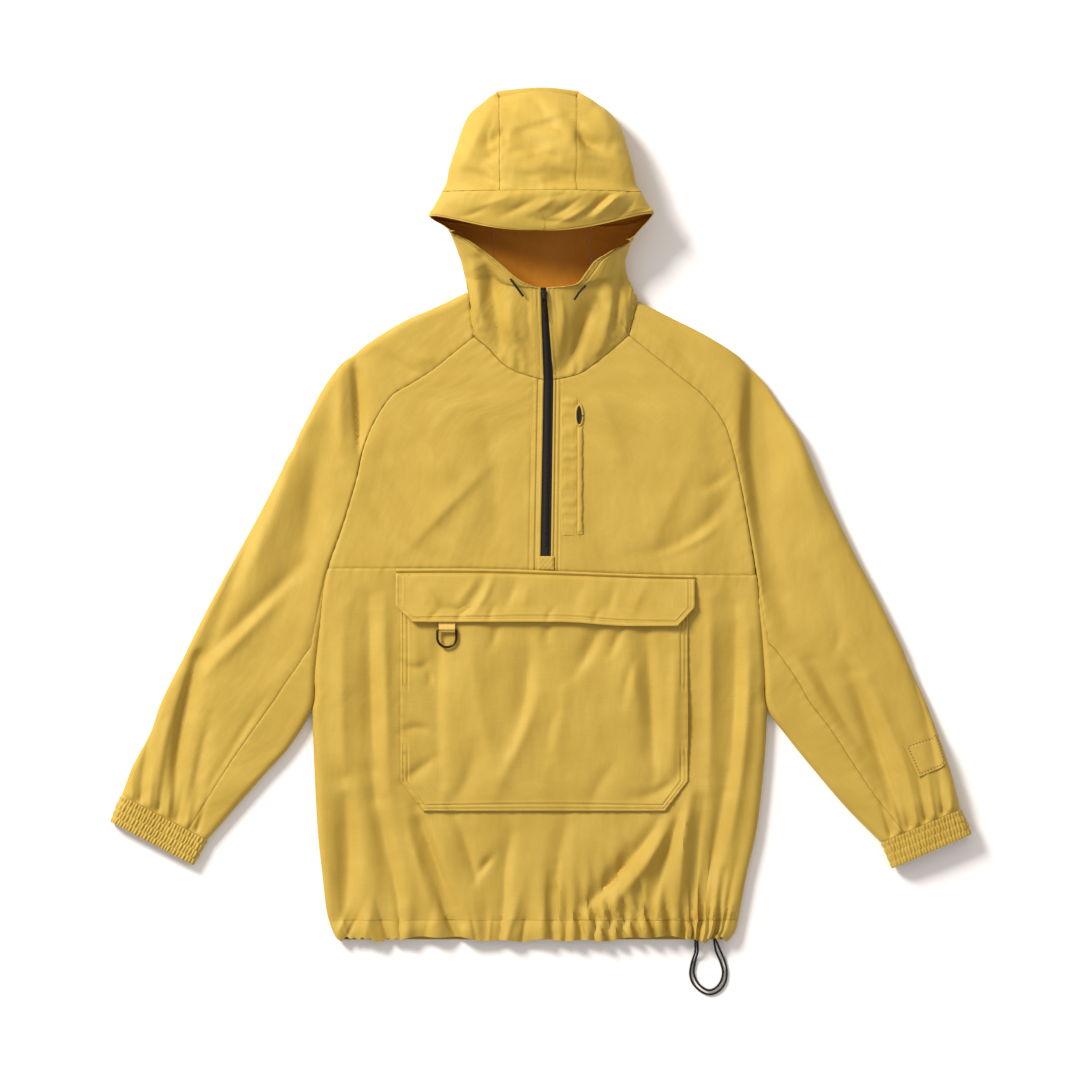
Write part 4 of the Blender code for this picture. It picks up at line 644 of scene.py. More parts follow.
def front_lower(y, c):
    """Lower front, c -1 to 0 and 3 to 4 round its edges, 1 to 2 under the pocket."""
    fade = unit(1 - (SEAM_Y - y) / 40)
    start, under = seam_angle(y), under_reach(y)
    gap = np.where(start > -89, SEAM / 2, 0)
    left = body_edge(-1, y + seam_drop(-BODY_HALF) * fade) + gap
    right = body_edge(1, y + seam_drop(BODY_HALF) * fade) - gap
    near, near_level = roll(np.clip(c + 1, -0.2, 1), start, under)
    far, far_level = roll(np.clip(4 - c, -0.2, 1), start, under)
    top = roll(np.ones_like(c), start, under)[0]
    x = np.where(c < 1, mix(left + top, POCKET_LEFT, c), mix(right - top, POCKET_RIGHT, 3 - c))
    x = np.where((c >= 1) & (c <= 2), mix(POCKET_LEFT, POCKET_RIGHT, c - 1), x)
    x = np.where(c < 0, left + near, np.where(c > 3, right - far, x))
    level = np.where(c < 0, near_level, np.where(c > 3, far_level, 1))
    y_place = y + seam_drop(x) * fade
    return points(x, y_place, (layer_height(x, y_place) + hem_gathers(c, y)) * level)


def front_lines(pitch):
    return joined(lines(-1, 0, 16, "none", 2.2), lines(0, 1, 96, "none", pitch), lines(1, 2, 345, "none", pitch),
                  lines(2, 3, 88, "none", pitch), lines(3, 4, 16, "none", 2.2))


def lower_extra(row, column, base):
    return np.minimum(small_folds(POCKET_FOLDS, base), 0) + 1.5 * pleats(base[..., 0], row) * front_part(column)


lower = cloth("lower_front_cloth", front_lower, lines(SEAM_Y - SEAM / 2, HEM_SEAM_Y + SEAM / 2, 421, pitch=3),
              front_lines(3), 1, LOWER_FOLDS, "N", extra=lower_extra)
dress(lower, yellow_nylon, "front_lower")


# -----------------------------------------------------------------------------------------------------------
# Sleeves
# Raglan sleeves of two panels each: an outer one over the top and round the edge, and a narrower one under the
# arm, joined by a lengthwise seam that comes out of the armpit.

SEAM_SHARE = 0.0015
ROLL_SHARE = 0.012
ARM_FOLDS = (
    (-223, 186, -219, 120, -215, 40, 8, 4, -3.2), (-238, 180, -240, 120, -238, 60, 10, 8, 1.6),
    (-262, 96, -276, 10, -284, -60, 14, 12, -1.8), (-298, 82, -356, -45, -424, -236, 9, 12, -2),
    (-283, -55, -345, -118, -408, -175, 8, 10, -1.9), (-300, -85, -352, -140, -402, -192, 8, 10, 1.5),
    (-411, -168, -432, -250, -441, -362, 8, 4, -3.2), (-424, -190, -449, -260, -462, -345, 8, 8, 1.8),
    (-455, -190, -470, -260, -476, -335, 5, 7, -1.5), (-395, -240, -410, -300, -419, -366, 8, 5, -1.5),
    (-335, -225, -372, -288, -408, -345, 8, 6, -1.2), (-300, 60, -330, -20, -366, -90, 10, 12, 1.4),
    (-250, -20, -258, -100, -300, -190, 10, 12, 1.2), (-190, 196, -165, 178, -140, 164, 5, 9, -0.9),
    (-160, 202, -140, 188, -120, 182, 6, 9, 0.8), (252, 184, 257, 84, 273, -90, 24, 11, -4.8),
    (248, 180, 240, 122, 236, 66, 6, 14, 1.3), (276, -20, 286, -90, 304, -150, 12, 10, -1.4),
    (300, 130, 318, 50, 346, -30, 10, 10, 1.4), (371, -190, 398, -265, 436, -382, 6, 10, -3),
    (392, -195, 424, -270, 453, -345, 8, 8, 1.7), (440, -175, 462, -240, 479, -330, 6, 8, -1.6),
    (325, -175, 352, -225, 389, -288, 8, 8, -1.5), (300, -160, 330, -215, 361, -268, 9, 8, 1.1),
    (351, -135, 357, -150, 352, -166, 5, 5, -0.9), (330, -60, 352, -110, 372, -170, 10, 12, -1.1),
    (150, 214, 168, 196, 186, 178, 6, 10, -0.8), (128, 218, 150, 200, 172, 186, 6, 10, 0.8),
)
# x y half_width length lean height: short gathers above the cuffs
CUFF_GATHERS = (
    (-412, -378, 3, 24, 0.3, -1.8), (-424, -370, 3, 34, 0.22, 1.5), (-436, -364, 3, 26, 0.2, -1.9),
    (-447, -358, 3, 40, 0.16, 1.6), (-458, -352, 3, 30, 0.14, -2), (-469, -347, 3, 36, 0.1, 1.6),
    (-480, -341, 3, 28, 0.06, -1.8), (-490, -336, 3, 22, 0.02, 1.4), (420, -384, 3, 26, -0.3, -2.2),
    (431, -379, 3, 36, -0.25, 1.8), (442, -374, 3, 28, -0.22, -2.5), (452, -370, 3, 44, -0.2, 2),
    (462, -366, 3, 30, -0.18, -2.7), (472, -362, 3, 34, -0.15, 2), (483, -357, 3, 24, -0.1, -2.4),
    (493, -353, 3, 20, -0.05, 1.7),
)


def sleeve(table, row, u):
    """Sleeve as a flat tube: u -1 to 2 over the top, 2 to 3 back along the table to the inner edge."""
    x_in, y_in, x_out, y_out = (table_value(table, column, row) for column in range(4))
    width = np.hypot(x_out - x_in, y_out - y_in)
    start = seam_angle(y_in)
    gap = np.where(start > -89, SEAM / 2, 0)
    tucked = np.full_like(width, -90)
    place, level = across(np.minimum(u, 2), width, start, under_reach(y_in), tucked, ROLL, gap, 0)
    inner = np.where(start > -89, SEAM / 2, under_reach(y_in))
    share = np.where(u > 2, mix(width - ROLL, inner, unit(u - 2)), place) / width
    x, y = mix(x_in, x_out, share), mix(y_in, y_out, share)
    return points(x, y, np.where(u > 2, 0, layer_height(x, y) * level))


def seam_gap(seam):
    return mix(SEAM_SHARE, ROLL_SHARE, unit((0.06 - seam) / 0.6))


def outer_panel(table, row, c):
    """c 0 to 1 from the front seam to the outer edge, 1 to 2 round it, 2 to 3 to the back seam."""
    seam = table_value(table, 4, row)
    front = np.where(seam > -0.99, seam + seam_gap(seam), -1)
    back = np.where(seam > 0, 1 - seam - SEAM_SHARE, 1)
    return sleeve(table, row, np.where(c > 2, 2 + back * (c - 2), np.where(c < 1, mix(front, 1, c), c)))


def under_panel(table, row, c):
    """c -1 to 0 from the back seam to the inner edge, 0 to 2 up round it to the front seam."""
    seam = table_value(table, 4, row)
    front = seam - seam_gap(seam)
    round_share = np.clip(1 / (front + 1), 0, 0.85)
    share = np.where(c < 1, round_share * c, mix(round_share, 1, c - 1))
    level = 3 - np.maximum(seam, 0.02) + SEAM_SHARE
    return sleeve(table, row, np.where(c < 0, mix(level, 3, (c + 1) * 0.94), (front + 1) * share - 1))


def cuff_gathers(row, column, base):
    total = np.zeros(row.shape)
    for x, y, half, length, lean, height in CUFF_GATHERS:
        above = base[..., 1] - y
        off = (base[..., 0] - x - lean * above) / half
        crest = 2.1 * height * np.exp(-off ** 2 - np.maximum(above, 0) / length)
        total += np.where((np.abs(off) < 4) & (above > -14), crest, 0)
    run = arcs(base, 0)
    return total * (1 - bell(run[-1:] - run, 3.6))


for label, table, turn in (("left", LEFT_SLEEVE, 1), ("right", RIGHT_SLEEVE, -1)):
    last = len(table) - 1
    columns = joined(lines(0, 1, 130, "start"), lines(1, 2, 26, "none", 2.4), lines(2, 3, 120, "none", 12))
    outer = cloth("outer_sleeve_" + label, partial(outer_panel, table), lines(0.018, last - 0.006, 760), columns,
                  turn, ARM_FOLDS, "NSW", extra=cuff_gathers)
    dress(outer, yellow_nylon, "sleeve_%s_outer" % label)
    begin = next(k for k, line in enumerate(table) if line[4] > -1)
    columns = joined(lines(-1, 0, 40, "none", 12), lines(0, 1, 26, "none", 2.6), lines(1, 2, 60, "end"))
    under = cloth("under_sleeve_" + label, partial(under_panel, table), lines(begin - 0.85, last - 0.006, 370),
                  columns, turn, ARM_FOLDS, "SE", extra=cuff_gathers,
                  keep=lambda row, column, armpit=begin + 3: (row > armpit) | (column > 0))
    dress(under, yellow_nylon, "sleeve_%s_under" % label)


# -----------------------------------------------------------------------------------------------------------
# Cuffs
# Wide elastic turned into the sleeve ends and stitched through three times, so the nylon stands up in small
# uneven ribs between the rows.

LEFT_CUFF = ((-400, -391, -503, -337), (-408, -406, -510, -353), (-417, -421, -516, -369))
RIGHT_CUFF = ((409, -394, 504, -354), (415, -409, 511, -368), (422, -425, 517, -384))
RIB_PITCH = 4
RIB_RISE = 0.75
BAND = 0.5               # share of a table row from one row of elastic to the next


def shirring(row, u, base):
    """Ribs of drawn-up cloth between rows of elastic, uneven and out of step from one band to the next."""
    run = arcs(base, 1)
    band = np.clip(row / BAND, 0, 3.999)
    number = np.floor(band)
    shift = 2.3 * np.sin(1.9 * number + 0.7) + 1.1 * np.sin(run / 9 + 2 * number)
    ribs = np.cos(TAU * run / RIB_PITCH + shift) + 0.45 * np.sin(TAU * run / (1.63 * RIB_PITCH) + 2.6 * number)
    puff = np.sin(np.pi * (band - number)) ** 0.5
    return RIB_RISE * (ribs * (0.35 + 0.65 * puff) * smooth(row / 0.14) + 0.9 * puff - 0.7)


for label, table, turn in (("left", LEFT_CUFF, 1), ("right", RIGHT_CUFF, -1)):
    around = joined(np.linspace(-1, 0, 25), np.linspace(0, 1, 150), np.linspace(1, 2, 25),
                    np.linspace(2, 3, 13))[:-1]
    band = cloth("elastic_cuff_" + label, partial(sleeve, table), lines(0.02, 2, 34, "none", 0.95), around, turn,
                 ring=True, extra=shirring)
    dress(band, yellow_nylon, "cuff_" + label)
    band.data.materials[1] = yellow_nylon     # the cloth is folded, so both its faces are the outside


# -----------------------------------------------------------------------------------------------------------
# Hem and its drawcord
# A folded casing round the hem, drawn in by an elastic cord. The cord comes out as one loop of two strands near
# the wearer's left side: a woven cover over rubber, 2.6 mm across, black, with no stopper on it.

CASING = 1.2
CORD_DIAMETER = 0.0026
BRAID_PITCH = 0.0009
HEM_CORDS = {
    "outer": (
        (185.8, -510.7, 14.8), (185.8, -513.2, 14.5), (185.6, -525, 6.5), (183, -533, 2.6), (180.8, -541, 1.5),
        (179.5, -552, 1.5), (183, -563, 1.5), (192, -572, 1.5), (203, -576, 1.5), (214, -572, 1.5),
        (221.5, -562, 1.5), (223.5, -549, 1.5), (221, -536, 1.6), (216, -524, 6), (210.9, -511.6, 14),
        (210.9, -509.1, 14.3),
    ),
    "inner": (
        (188.5, -511.8, 9.8), (188.5, -514.3, 9.5), (188.7, -525, 6.5), (186.4, -533, 2.6), (184.7, -541, 1.5),
        (183.9, -551, 1.5), (187.8, -561, 1.5), (195, -568, 1.5), (203, -571, 1.5), (211, -567.5, 1.5),
        (217, -559, 1.5), (218.8, -548, 1.5), (215.5, -536, 1.6), (210.5, -524, 6), (208.5, -512.3, 11.9),
        (208.5, -509.8, 12.2),
    ),
}


def hem_share(y):
    return unit((HEM_SEAM_Y - y) / (HEM_SEAM_Y - HEM_Y))


def hem_ring(y, c):
    """Drawcord casing all round the hem: c -1 to 4 over the front, 4 to 5 back along the table."""
    waver = 2 * np.sin(c * 7.3) + 1.3 * np.sin(c * 17 + 1) + 1.2 * np.sin(c * 43)
    flat = points(mix(body_edge(1, y) - ROLL, body_edge(-1, y) + ROLL, unit(c - 4)), y, 0)
    ring = pick(c > 4, flat, front_lower(y, np.minimum(c, 4)))
    ring[..., 1] += waver * hem_share(y) * smooth((c + 1) / 0.5) * smooth((4 - c) / 0.5)
    return ring


def casing_gathers(row, column, base):
    drawn = 1.5 * pleats(base[..., 0], np.minimum(row, HEM_SEAM_Y))
    return (drawn + 1.2 * np.sin(np.pi * hem_share(row))) * front_part(column)


casing = cloth("hem_band", hem_ring, lines(HEM_SEAM_Y - SEAM, HEM_Y, 23, "start", 2),
               joined(front_lines(1.7), np.linspace(4, 5, 40))[:-1], 1, LOWER_FOLDS, ring=True, wall=CASING,
               extra=casing_gathers)
dress(casing, yellow_nylon, "hem_casing")
casing.data.materials[1] = yellow_nylon    # the casing is folded, so both its faces are the outside

# Covered elastic: a close braid of black polyester yarn, which shows a thin soft highlight along its top.
black_cord, tree = new_material("braided polyester cord, black")
where = add_node(tree, "TexCoord", out="Object")
braid = add_node(tree, "TexWave", {"Vector": where, "Scale": WAVE_UNIT / BRAID_PITCH, "Distortion": 1.5}, "Fac",
                 bands_direction="DIAGONAL")
ply = add_node(tree, "TexNoise", {"Vector": where, "Scale": 1600}, "Fac")
tone = add_node(tree, "Mix", {"Factor": ply, 6: linear("#100E0F"), 7: linear("#262223")}, 2, data_type="RGBA")
relief = add_node(tree, "Bump", {"Height": braid, "Strength": 0.6, "Distance": 0.0002})
shader = add_node(tree, "BsdfPrincipled", {"Base Color": tone, "Roughness": 0.6, "Specular IOR Level": 0.2,
                                           "Normal": relief})
add_node(tree, "OutputMaterial", {"Surface": shader})


def new_curve(name, routes, cyclic=True, **settings):
    """Curve of straight runs through places in millimetres."""
    data = bpy.data.curves.new(name, "CURVE")
    for setting, value in settings.items():
        setattr(data, setting, value)
    for route in routes:
        spline = data.splines.new("POLY")
        spline.points.add(len(route) - 1)
        spline.use_cyclic_u = cyclic
        for point, place in zip(spline.points, np.asarray(route) * MM):
            point.co = (*place, 1)
    return new_object(name, data)


def cord_curve(name, route):
    """Round cord along a smooth curve through its route, and the places along its middle, in millimetres."""
    fine = np.linspace(0, len(route) - 1, 6 * (len(route) - 1) + 1)
    places = np.stack([table_value(route, column, fine) for column in range(3)], axis=-1) + SHIFT
    places[:, 2] = np.maximum(places[:, 2], CORD_DIAMETER / MM / 2 + 0.05)
    return new_curve(name, [places], False, dimensions="3D", bevel_depth=CORD_DIAMETER / 2, bevel_resolution=4,
                     use_fill_caps=True), places


for label, route in HEM_CORDS.items():
    strand, places = cord_curve("hem_strand_" + label, route)
    dress(strand, black_cord, "hem_cord_" + label, slot="cord")


# -----------------------------------------------------------------------------------------------------------
# Hood and collar
# Two sides that run down into the collar, a centre panel over the crown and down the back, and a brim that is
# faced and stitched. The wide face opening has a drawcord tunnel along its edge.

# x y z of the top or opening edge, x y z of the widest place, x y on the table, y at the back
HOOD_LEFT = (
    (2, 509, 17, -52, 501, 9, -46, 501, 503), (2, 502, 30, -66, 494, 15, -58, 494, 496),
    (2, 487, 46, -83, 482, 22, -71, 482, 484), (2, 466, 60, -93, 464, 29, -77, 464, 465),
    (2, 438, 71, -102, 438, 35, -84, 438, 438), (2, 412, 79, -111, 412, 40, -90, 412, 412),
    (2, 390, 83, -118, 388, 44, -95, 389, 389), (2, 367, 85, -127, 371, 47, -99, 371, 372),
    (-2, 335, 79, -133, 357, 50, -101, 356, 356), (-103, 340, 51, -112, 343, 46, -100, 340, 341),
    (-83, 327, 52, -104, 327, 28, -95, 327, 328), (-53, 305, 50, -99, 313, 24, -91, 313, 315),
    (-29, 284, 47, -95, 302, 20, -87, 302, 303), (-10, 274, 45, -93, 293, 18, -85, 292, 293),
    (0, 272, 43, -91, 285, 16, -83, 283, 284),
)
HOOD_RIGHT = (
    (2, 509, 17, 46, 501, 9, 40, 501, 503), (2, 502, 30, 62, 494, 15, 54, 494, 496),
    (2, 487, 46, 82, 480, 22, 70, 480, 484), (2, 466, 60, 96, 463, 29, 81, 463, 465),
    (2, 438, 71, 105, 438, 35, 87, 438, 438), (2, 412, 79, 114, 412, 40, 92, 412, 412),
    (2, 390, 83, 121, 388, 44, 97, 389, 389), (2, 367, 85, 129, 372, 47, 101, 371, 372),
    (-2, 335, 79, 135, 360, 50, 103, 358, 356), (103, 330, 51, 114, 335, 46, 102, 332, 341),
    (84, 316, 51, 107, 321, 28, 99, 321, 328), (65, 304, 50, 105, 312, 24, 97, 312, 315),
    (55, 291, 48, 104, 302, 20, 95, 302, 303), (41, 276, 45, 105, 292, 18, 95, 291, 293),
    (7, 272, 43, 107, 282, 16, 97, 281, 284),
)
HOOD = {-1: HOOD_LEFT, 1: HOOD_RIGHT}
BRIM_SEAM_ROW = 6
BRIM_EDGE_ROW = 8
OPENING_ROW = 9
COLLAR_ROW = 14          # last table row; the collar runs on from it to the neck seam
NECK_ROW = 17
WIDEST = 0.6             # share of a side row that ends at its widest place
NOSE = 6
TOP_SEAMS = {-1: -50, 1: 44}
BACK_SEAMS = {-1: 57, 1: 60}
COLLAR_PUFF = 4
NECK_CORNER = 0.45       # share of the neck row at the raglan seam
# distance from the edge and depth of each row of stitches
TUNNEL_GROOVES = ((9.2, 0.9),)
COLLAR_GROOVES = ((4, 0.7), (9.2, 0.5))
BRIM_GROOVES = ((3.4, 0.5),)

HOOD_FOLDS = (
    (52, 300, 46, 235, 34, 175, 16, 16, -4), (80, 285, 72, 235, 64, 190, 16, 16, 3),
    (-56, 303, -52, 275, -50, 240, 14, 14, -3), (-30, 230, -28, 200, -26, 175, 12, 12, 1.5),
)
HOOD_CREASES = (
    (-60, 466, -66, 447, -56, 430, 3, 9, -1.2), (-21, 498, -2, 494, 5, 473, 4, 10, -1),
    (-43, 430, -18, 440, 16, 431, 3, 10, -1.2), (-34, 456, -8, 468, 34, 478, 3, 10, -1),
    (46, 464, 62, 444, 96, 434, 3, 10, -1.3), (42, 426, 78, 424, 104, 408, 4, 12, -1.5),
    (-90, 440, -70, 422, -54, 408, 4, 9, -1), (-104, 410, -76, 410, -54, 396, 4, 9, -1.2),
    (10, 420, 26, 412, 44, 410, 3, 8, -1), (-36, 412, -12, 408, 8, 414, 3, 8, -0.8),
    (70, 270, 52, 222, 27, 168, 9, 14, -4.2), (88, 266, 79, 222, 62, 180, 8, 7, 1.8),
    (100, 306, 96, 266, 88, 226, 7, 9, -2.6), (78, 252, 70, 226, 62, 200, 5, 6, -0.8),
    (66, 236, 62, 216, 57, 196, 4, 5, 0.6), (54, 230, 51, 210, 47, 190, 4, 5, -0.6),
    (94, 250, 88, 230, 80, 210, 5, 6, -0.8), (-72, 306, -58, 262, -53, 200, 9, 14, -3.6),
    (-80, 312, -76, 276, -68, 226, 8, 8, 1.6), (-90, 284, -84, 256, -76, 230, 6, 6, -0.5),
    (-60, 232, -52, 214, -46, 196, 4, 5, -1.3), (-44, 224, -34, 204, -24, 184, 5, 7, -1.2),
    (-26, 214, -18, 200, -10, 180, 5, 6, -1), (-38, 262, -34, 226, -30, 200, 6, 8, 1.1),
    (-16, 256, -14, 226, -10, 196, 3, 5, -0.9), (24, 262, 27, 230, 22, 190, 4, 6, 1),
    (40, 216, 38, 202, 33, 184, 3, 5, 1.1), (-46, 462, -56, 452, -68, 444, 5, 6, -1.9),
    (-46, 440, -57, 434, -70, 426, 5, 6, -1.5), (-49, 468, -44, 458, -42, 446, 3, 4, -0.9),
    (-58, 496, -66, 470, -80, 440, 8, 12, 1), (-6, 396, 46, 404, 110, 394, 20, 7, -4),
    (-108, 396, -70, 400, -30, 392, 18, 6, -2.2), (-34, 486, -6, 474, 24, 468, 12, 12, -1.7),
    (-44, 456, -14, 444, 14, 446, 12, 9, -1.9), (-22, 424, 0, 432, 32, 430, 9, 8, -1.6),
    (8, 482, 20, 466, 42, 452, 6, 8, -1.2), (47, 466, 60, 450, 84, 446, 5, 10, -2.3),
    (-70, 470, -80, 440, -98, 412, 12, 12, 1.6), (62, 490, 76, 470, 90, 440, 12, 12, 1.6),
    (44, 470, 58, 452, 84, 440, 5, 8, -1.2), (45, 440, 60, 424, 96, 418, 6, 8, 1.2),
    (-34, 470, -10, 452, 20, 448, 9, 12, -1), (-40, 428, -8, 434, 34, 446, 9, 12, 1.1),
)
BRIM_CREASES = (
    (100, 388, 86, 376, 68, 360, 6, 3, 2.2), (92, 392, 74, 376, 56, 360, 3, 5, -1.6),
    (48, 382, 30, 366, 10, 356, 4, 6, -1.4), (60, 372, 40, 358, 20, 348, 5, 3, 1.3),
    (20, 386, 6, 372, -12, 362, 4, 6, 1.1), (-6, 380, -26, 368, -48, 358, 5, 6, -1.2),
    (-30, 386, -52, 376, -84, 366, 6, 5, 0.9), (-60, 372, -80, 362, -96, 358, 4, 6, -0.9),
    (112, 374, 104, 364, 94, 354, 3, 5, -1.2), (36, 392, 22, 384, 8, 380, 4, 5, -0.9),
    (-10, 356, 14, 350, 40, 352, 4, 5, -1), (70, 394, 54, 388, 40, 378, 4, 4, 0.9),
)


def hood_arch(side, row, p):
    """Rows of a side: p 0 at its top edge, an arch to the widest place, then a tuck to the table at 1."""
    edge_x, edge_y, edge_z, wide_x, wide_y, wide_z, foot_x, foot_y = (
        table_value(HOOD[side], column, row) for column in range(8))
    arch = np.radians(90 * (1 - unit(p / WIDEST)))
    tuck = np.radians(90 * unit((p - WIDEST) / (1 - WIDEST)))
    place = pick(p <= WIDEST, points(mix(edge_x, wide_x, np.cos(arch)), mix(wide_y, edge_y, np.sin(arch) ** 2.5),
                                     mix(wide_z, edge_z, np.sin(arch))),
                 points(mix(wide_x, foot_x, 1 - np.cos(tuck)), mix(wide_y, foot_y, 1 - np.cos(tuck)),
                        wide_z * (1 - np.sin(tuck))))
    creases = fold_height(HOOD_FOLDS, place[..., 0], place[..., 1])
    place[..., 2] += creases * smooth((WIDEST - p) / 0.25) * smooth(row - 5)
    return place


def top_seam_share(side, row):
    """Where the seam of the centre panel lies on the arch of a side."""
    edge_x = table_value(HOOD[side], 0, row)
    reach = np.clip((TOP_SEAMS[side] - edge_x) / (table_value(HOOD[side], 3, row) - edge_x), 0, 0.96)
    return WIDEST * (1 - 2 / np.pi * np.arccos(reach))


def back_seam_x(side, row):
    foot = np.abs(table_value(HOOD[side], 6, np.minimum(row, COLLAR_ROW)))
    return side * np.minimum(BACK_SEAMS[side], foot - 8)


def collar_fall(row):
    return unit((row - COLLAR_ROW) / (NECK_ROW - COLLAR_ROW))


def hood_back_y(row, x):
    """Where a row of the hood crosses the back, on the table."""
    (left, left_y), (right, right_y) = NECK_BACK
    neck = mix(left_y, right_y, (x - left) / (right - left)) + SEAM / 2
    return mix(table_value(HOOD_LEFT, 8, np.minimum(row, COLLAR_ROW)), neck, collar_fall(row))


def neck_line(side, p):
    """The seam that the collar shares with the upper front and the sleeve."""
    on_body = front_upper(side, np.full_like(p, -0.0016), 1 - 2 * unit(p / NECK_CORNER))
    on_arm = sleeve(LEFT_SLEEVE if side < 0 else RIGHT_SLEEVE, np.full_like(p, -0.016),
                    np.interp(p, [NECK_CORNER, WIDEST, 1], [-1, 1.5, 2]))
    return pick(p < NECK_CORNER, on_body, on_arm)


def hood_wall(side, row, p):
    fall = collar_fall(row)
    wall = mix(hood_arch(side, np.minimum(row, COLLAR_ROW), p), neck_line(side, p), fall[..., None])
    wall[..., 2] += COLLAR_PUFF * np.sin(np.pi * fall) ** 2 * smooth((0.9 - p) / 0.3)
    return wall


def hood_side(side, row, c):
    """Side of hood and collar, c 0 to 1 from its top, rim or zip edge to the table, 1 to 2 under the back."""
    top = np.where(row < BRIM_SEAM_ROW + 0.02, top_seam_share(side, row) + 0.0008, 0)
    ring = unit(c)
    wall = hood_wall(side, row, np.where(ring < WIDEST, mix(top, WIDEST, ring / WIDEST), ring))
    wall[..., 1] += NOSE * unit(1 - row / 1.5) * np.sin(np.pi * ring)
    foot = hood_wall(side, row, np.ones_like(ring))
    seam_x = back_seam_x(side, row)
    back = unit(c - 1)
    under = points(mix(foot[..., 0], seam_x, back), mix(foot[..., 1], hood_back_y(row, seam_x), back), 0)
    return pick(c > 1, under, wall)


def hood_top(row, c, reach):
    """Crown of the hood between both sides, c -1 to 1, as far down as reach on the arch."""
    return pick(c < 0, *(hood_arch(side, row, np.maximum(side * c, 0) * reach(side, row)) for side in (-1, 1)))


def hood_centre(t, c):
    """Centre panel: over the crown at t -6 to 0, round the end at 0 to 1, then down the back to the neck."""
    crown = hood_top(np.clip(-t, 0, BRIM_SEAM_ROW), c, top_seam_share)
    row = np.clip(t - 1, 0, NECK_ROW)
    x = mix(back_seam_x(-1, row), back_seam_x(1, row), (c + 1) / 2)
    back = points(x, hood_back_y(row, x), 0)
    turn = unit(t)
    bulge = np.sin(np.pi * turn)
    end = mix(crown, back, turn[..., None])
    end[..., 0] = mix(crown[..., 0], back[..., 0], turn ** 5) + 2.4 * np.sign(c) * np.abs(c) ** 12 * bulge
    end[..., 1] += NOSE * bulge
    end[..., 2] = crown[..., 2] * (1 + np.cos(np.pi * turn)) / 2
    return pick(t <= 0, crown, pick(t < 1, end, back))


def tunnel(row, column, base):
    """Lip of the drawcord tunnel and of the facing, and the puckers that their stitches draw up."""
    along, run = arcs(base, 0), arcs(base, 1)
    collar = smooth((row - COLLAR_ROW + 0.3) / 0.6)
    lip = mix(stitched_edge(run, TUNNEL_GROOVES), stitched_edge(run, COLLAR_GROOVES), collar)
    draws = 0.5 * np.sin(along * 1.1 + 1.5 * np.sin(along * 0.19)) * bell(run - 4, 4.5)
    to_neck = along[-1:] - along
    gathered = 2.4 * np.sin(run / 2 + 2.2 * np.sin(run / 15)) * np.exp(-to_neck / 11) * (1 - bell(to_neck, 3.2))
    rise = lip + draws * (1 - 0.6 * collar) + gathered * smooth((run - 14) / 10)
    return rise * smooth((row - OPENING_ROW) / 0.2)


def brim_fall(row, column, base):
    """The brim nods down towards its turned and stitched edge."""
    along = arcs(base, 0)
    nod = -9 * smooth((row - BRIM_SEAM_ROW) / 2.2) * (1 - np.abs(column) ** 3)
    creases = small_folds(BRIM_CREASES, base) * (1 - bell(along, 7))
    return nod + creases + stitched_edge(along[-1:] - along, BRIM_GROOVES)


side_rows = np.concatenate([lines(0, BRIM_SEAM_ROW - 0.008, 150),
                            joined(np.linspace(BRIM_SEAM_ROW, OPENING_ROW, 18)[1:],
                                   lines(OPENING_ROW, COLLAR_ROW, 130, "start", 2.4),
                                   lines(COLLAR_ROW, NECK_ROW, 112, "end", 2.6))])
side_columns = joined(np.linspace(0, 0.08, 17), lines(0.08, WIDEST, 104, "none", 2.8),
                      lines(WIDEST, 1, 45, "none", 3), lines(1, 1.995, 40, "none", 8))
for label, side, area in (("left", -1, 0.038), ("right", 1, 0.041)):
    hood_half = cloth("hood_half_" + label, partial(hood_side, side), side_rows, side_columns, -side,
                      HOOD_CREASES, "S", extra=tunnel, keep=lambda row, column: (
                          (column > WIDEST) | (row < BRIM_SEAM_ROW) | (row > OPENING_ROW)))
    dress(hood_half, yellow_nylon, "hood_side_" + label)
crown_rows = joined(lines(0.008 - BRIM_SEAM_ROW, 0, 145, "start", 3), lines(0, 1, 24, "none", 2),
                    lines(1, NECK_ROW + 1, 250, "none", 8))
crown = cloth("hood_crown", hood_centre, crown_rows, 0.997 * lines(-1, 1, 100, pitch=2.8), 1, HOOD_CREASES,
              "nwe")
dress(crown, yellow_nylon, "hood_centre")
brim = cloth("hood_peak", partial(hood_top, reach=lambda side, row: WIDEST - 0.0015),
             lines(BRIM_SEAM_ROW + 0.008, BRIM_EDGE_ROW, 56, "start", 1.4), lines(-1, 1, 310, "none", 2.4), -1,
             HOOD_CREASES, "n", extra=brim_fall)
dress(brim, yellow_nylon, "hood_brim")


# -----------------------------------------------------------------------------------------------------------
# Kangaroo pocket
# A large bag of the same nylon, laid on the lower front and topstitched round three sides, with a slit on
# either side for the hands. A doubled flap, sewn on along the pocket seam under a narrow bar, hangs over its top.

POCKET_WIDTH = POCKET_RIGHT - POCKET_LEFT
POCKET_CLIP_Y = -320
POCKET_BOTTOM_Y = -356
POCKET_CLIP = 27
POCKET_TOP_Y = -110
POCKET_LIFT = 2.6
SLIT_Y = -245
SLIT_HALF = 42
SLIT_LIFT = 3
FLAP_OVERHANG = 5
FLAP_CLIP_Y = -110
FLAP_BOTTOM_Y = -129
FLAP_CLIP = 20
FLAP_STAND = 9.4         # how far the free edge stands over the lower front
FLAP_WIDTH = 358
FLAP_DROP = 19.6         # length of the lowest part of the flap, between its clipped corners
FLANK = 76               # width of the lower front beside the pocket
LAYER = 1.5
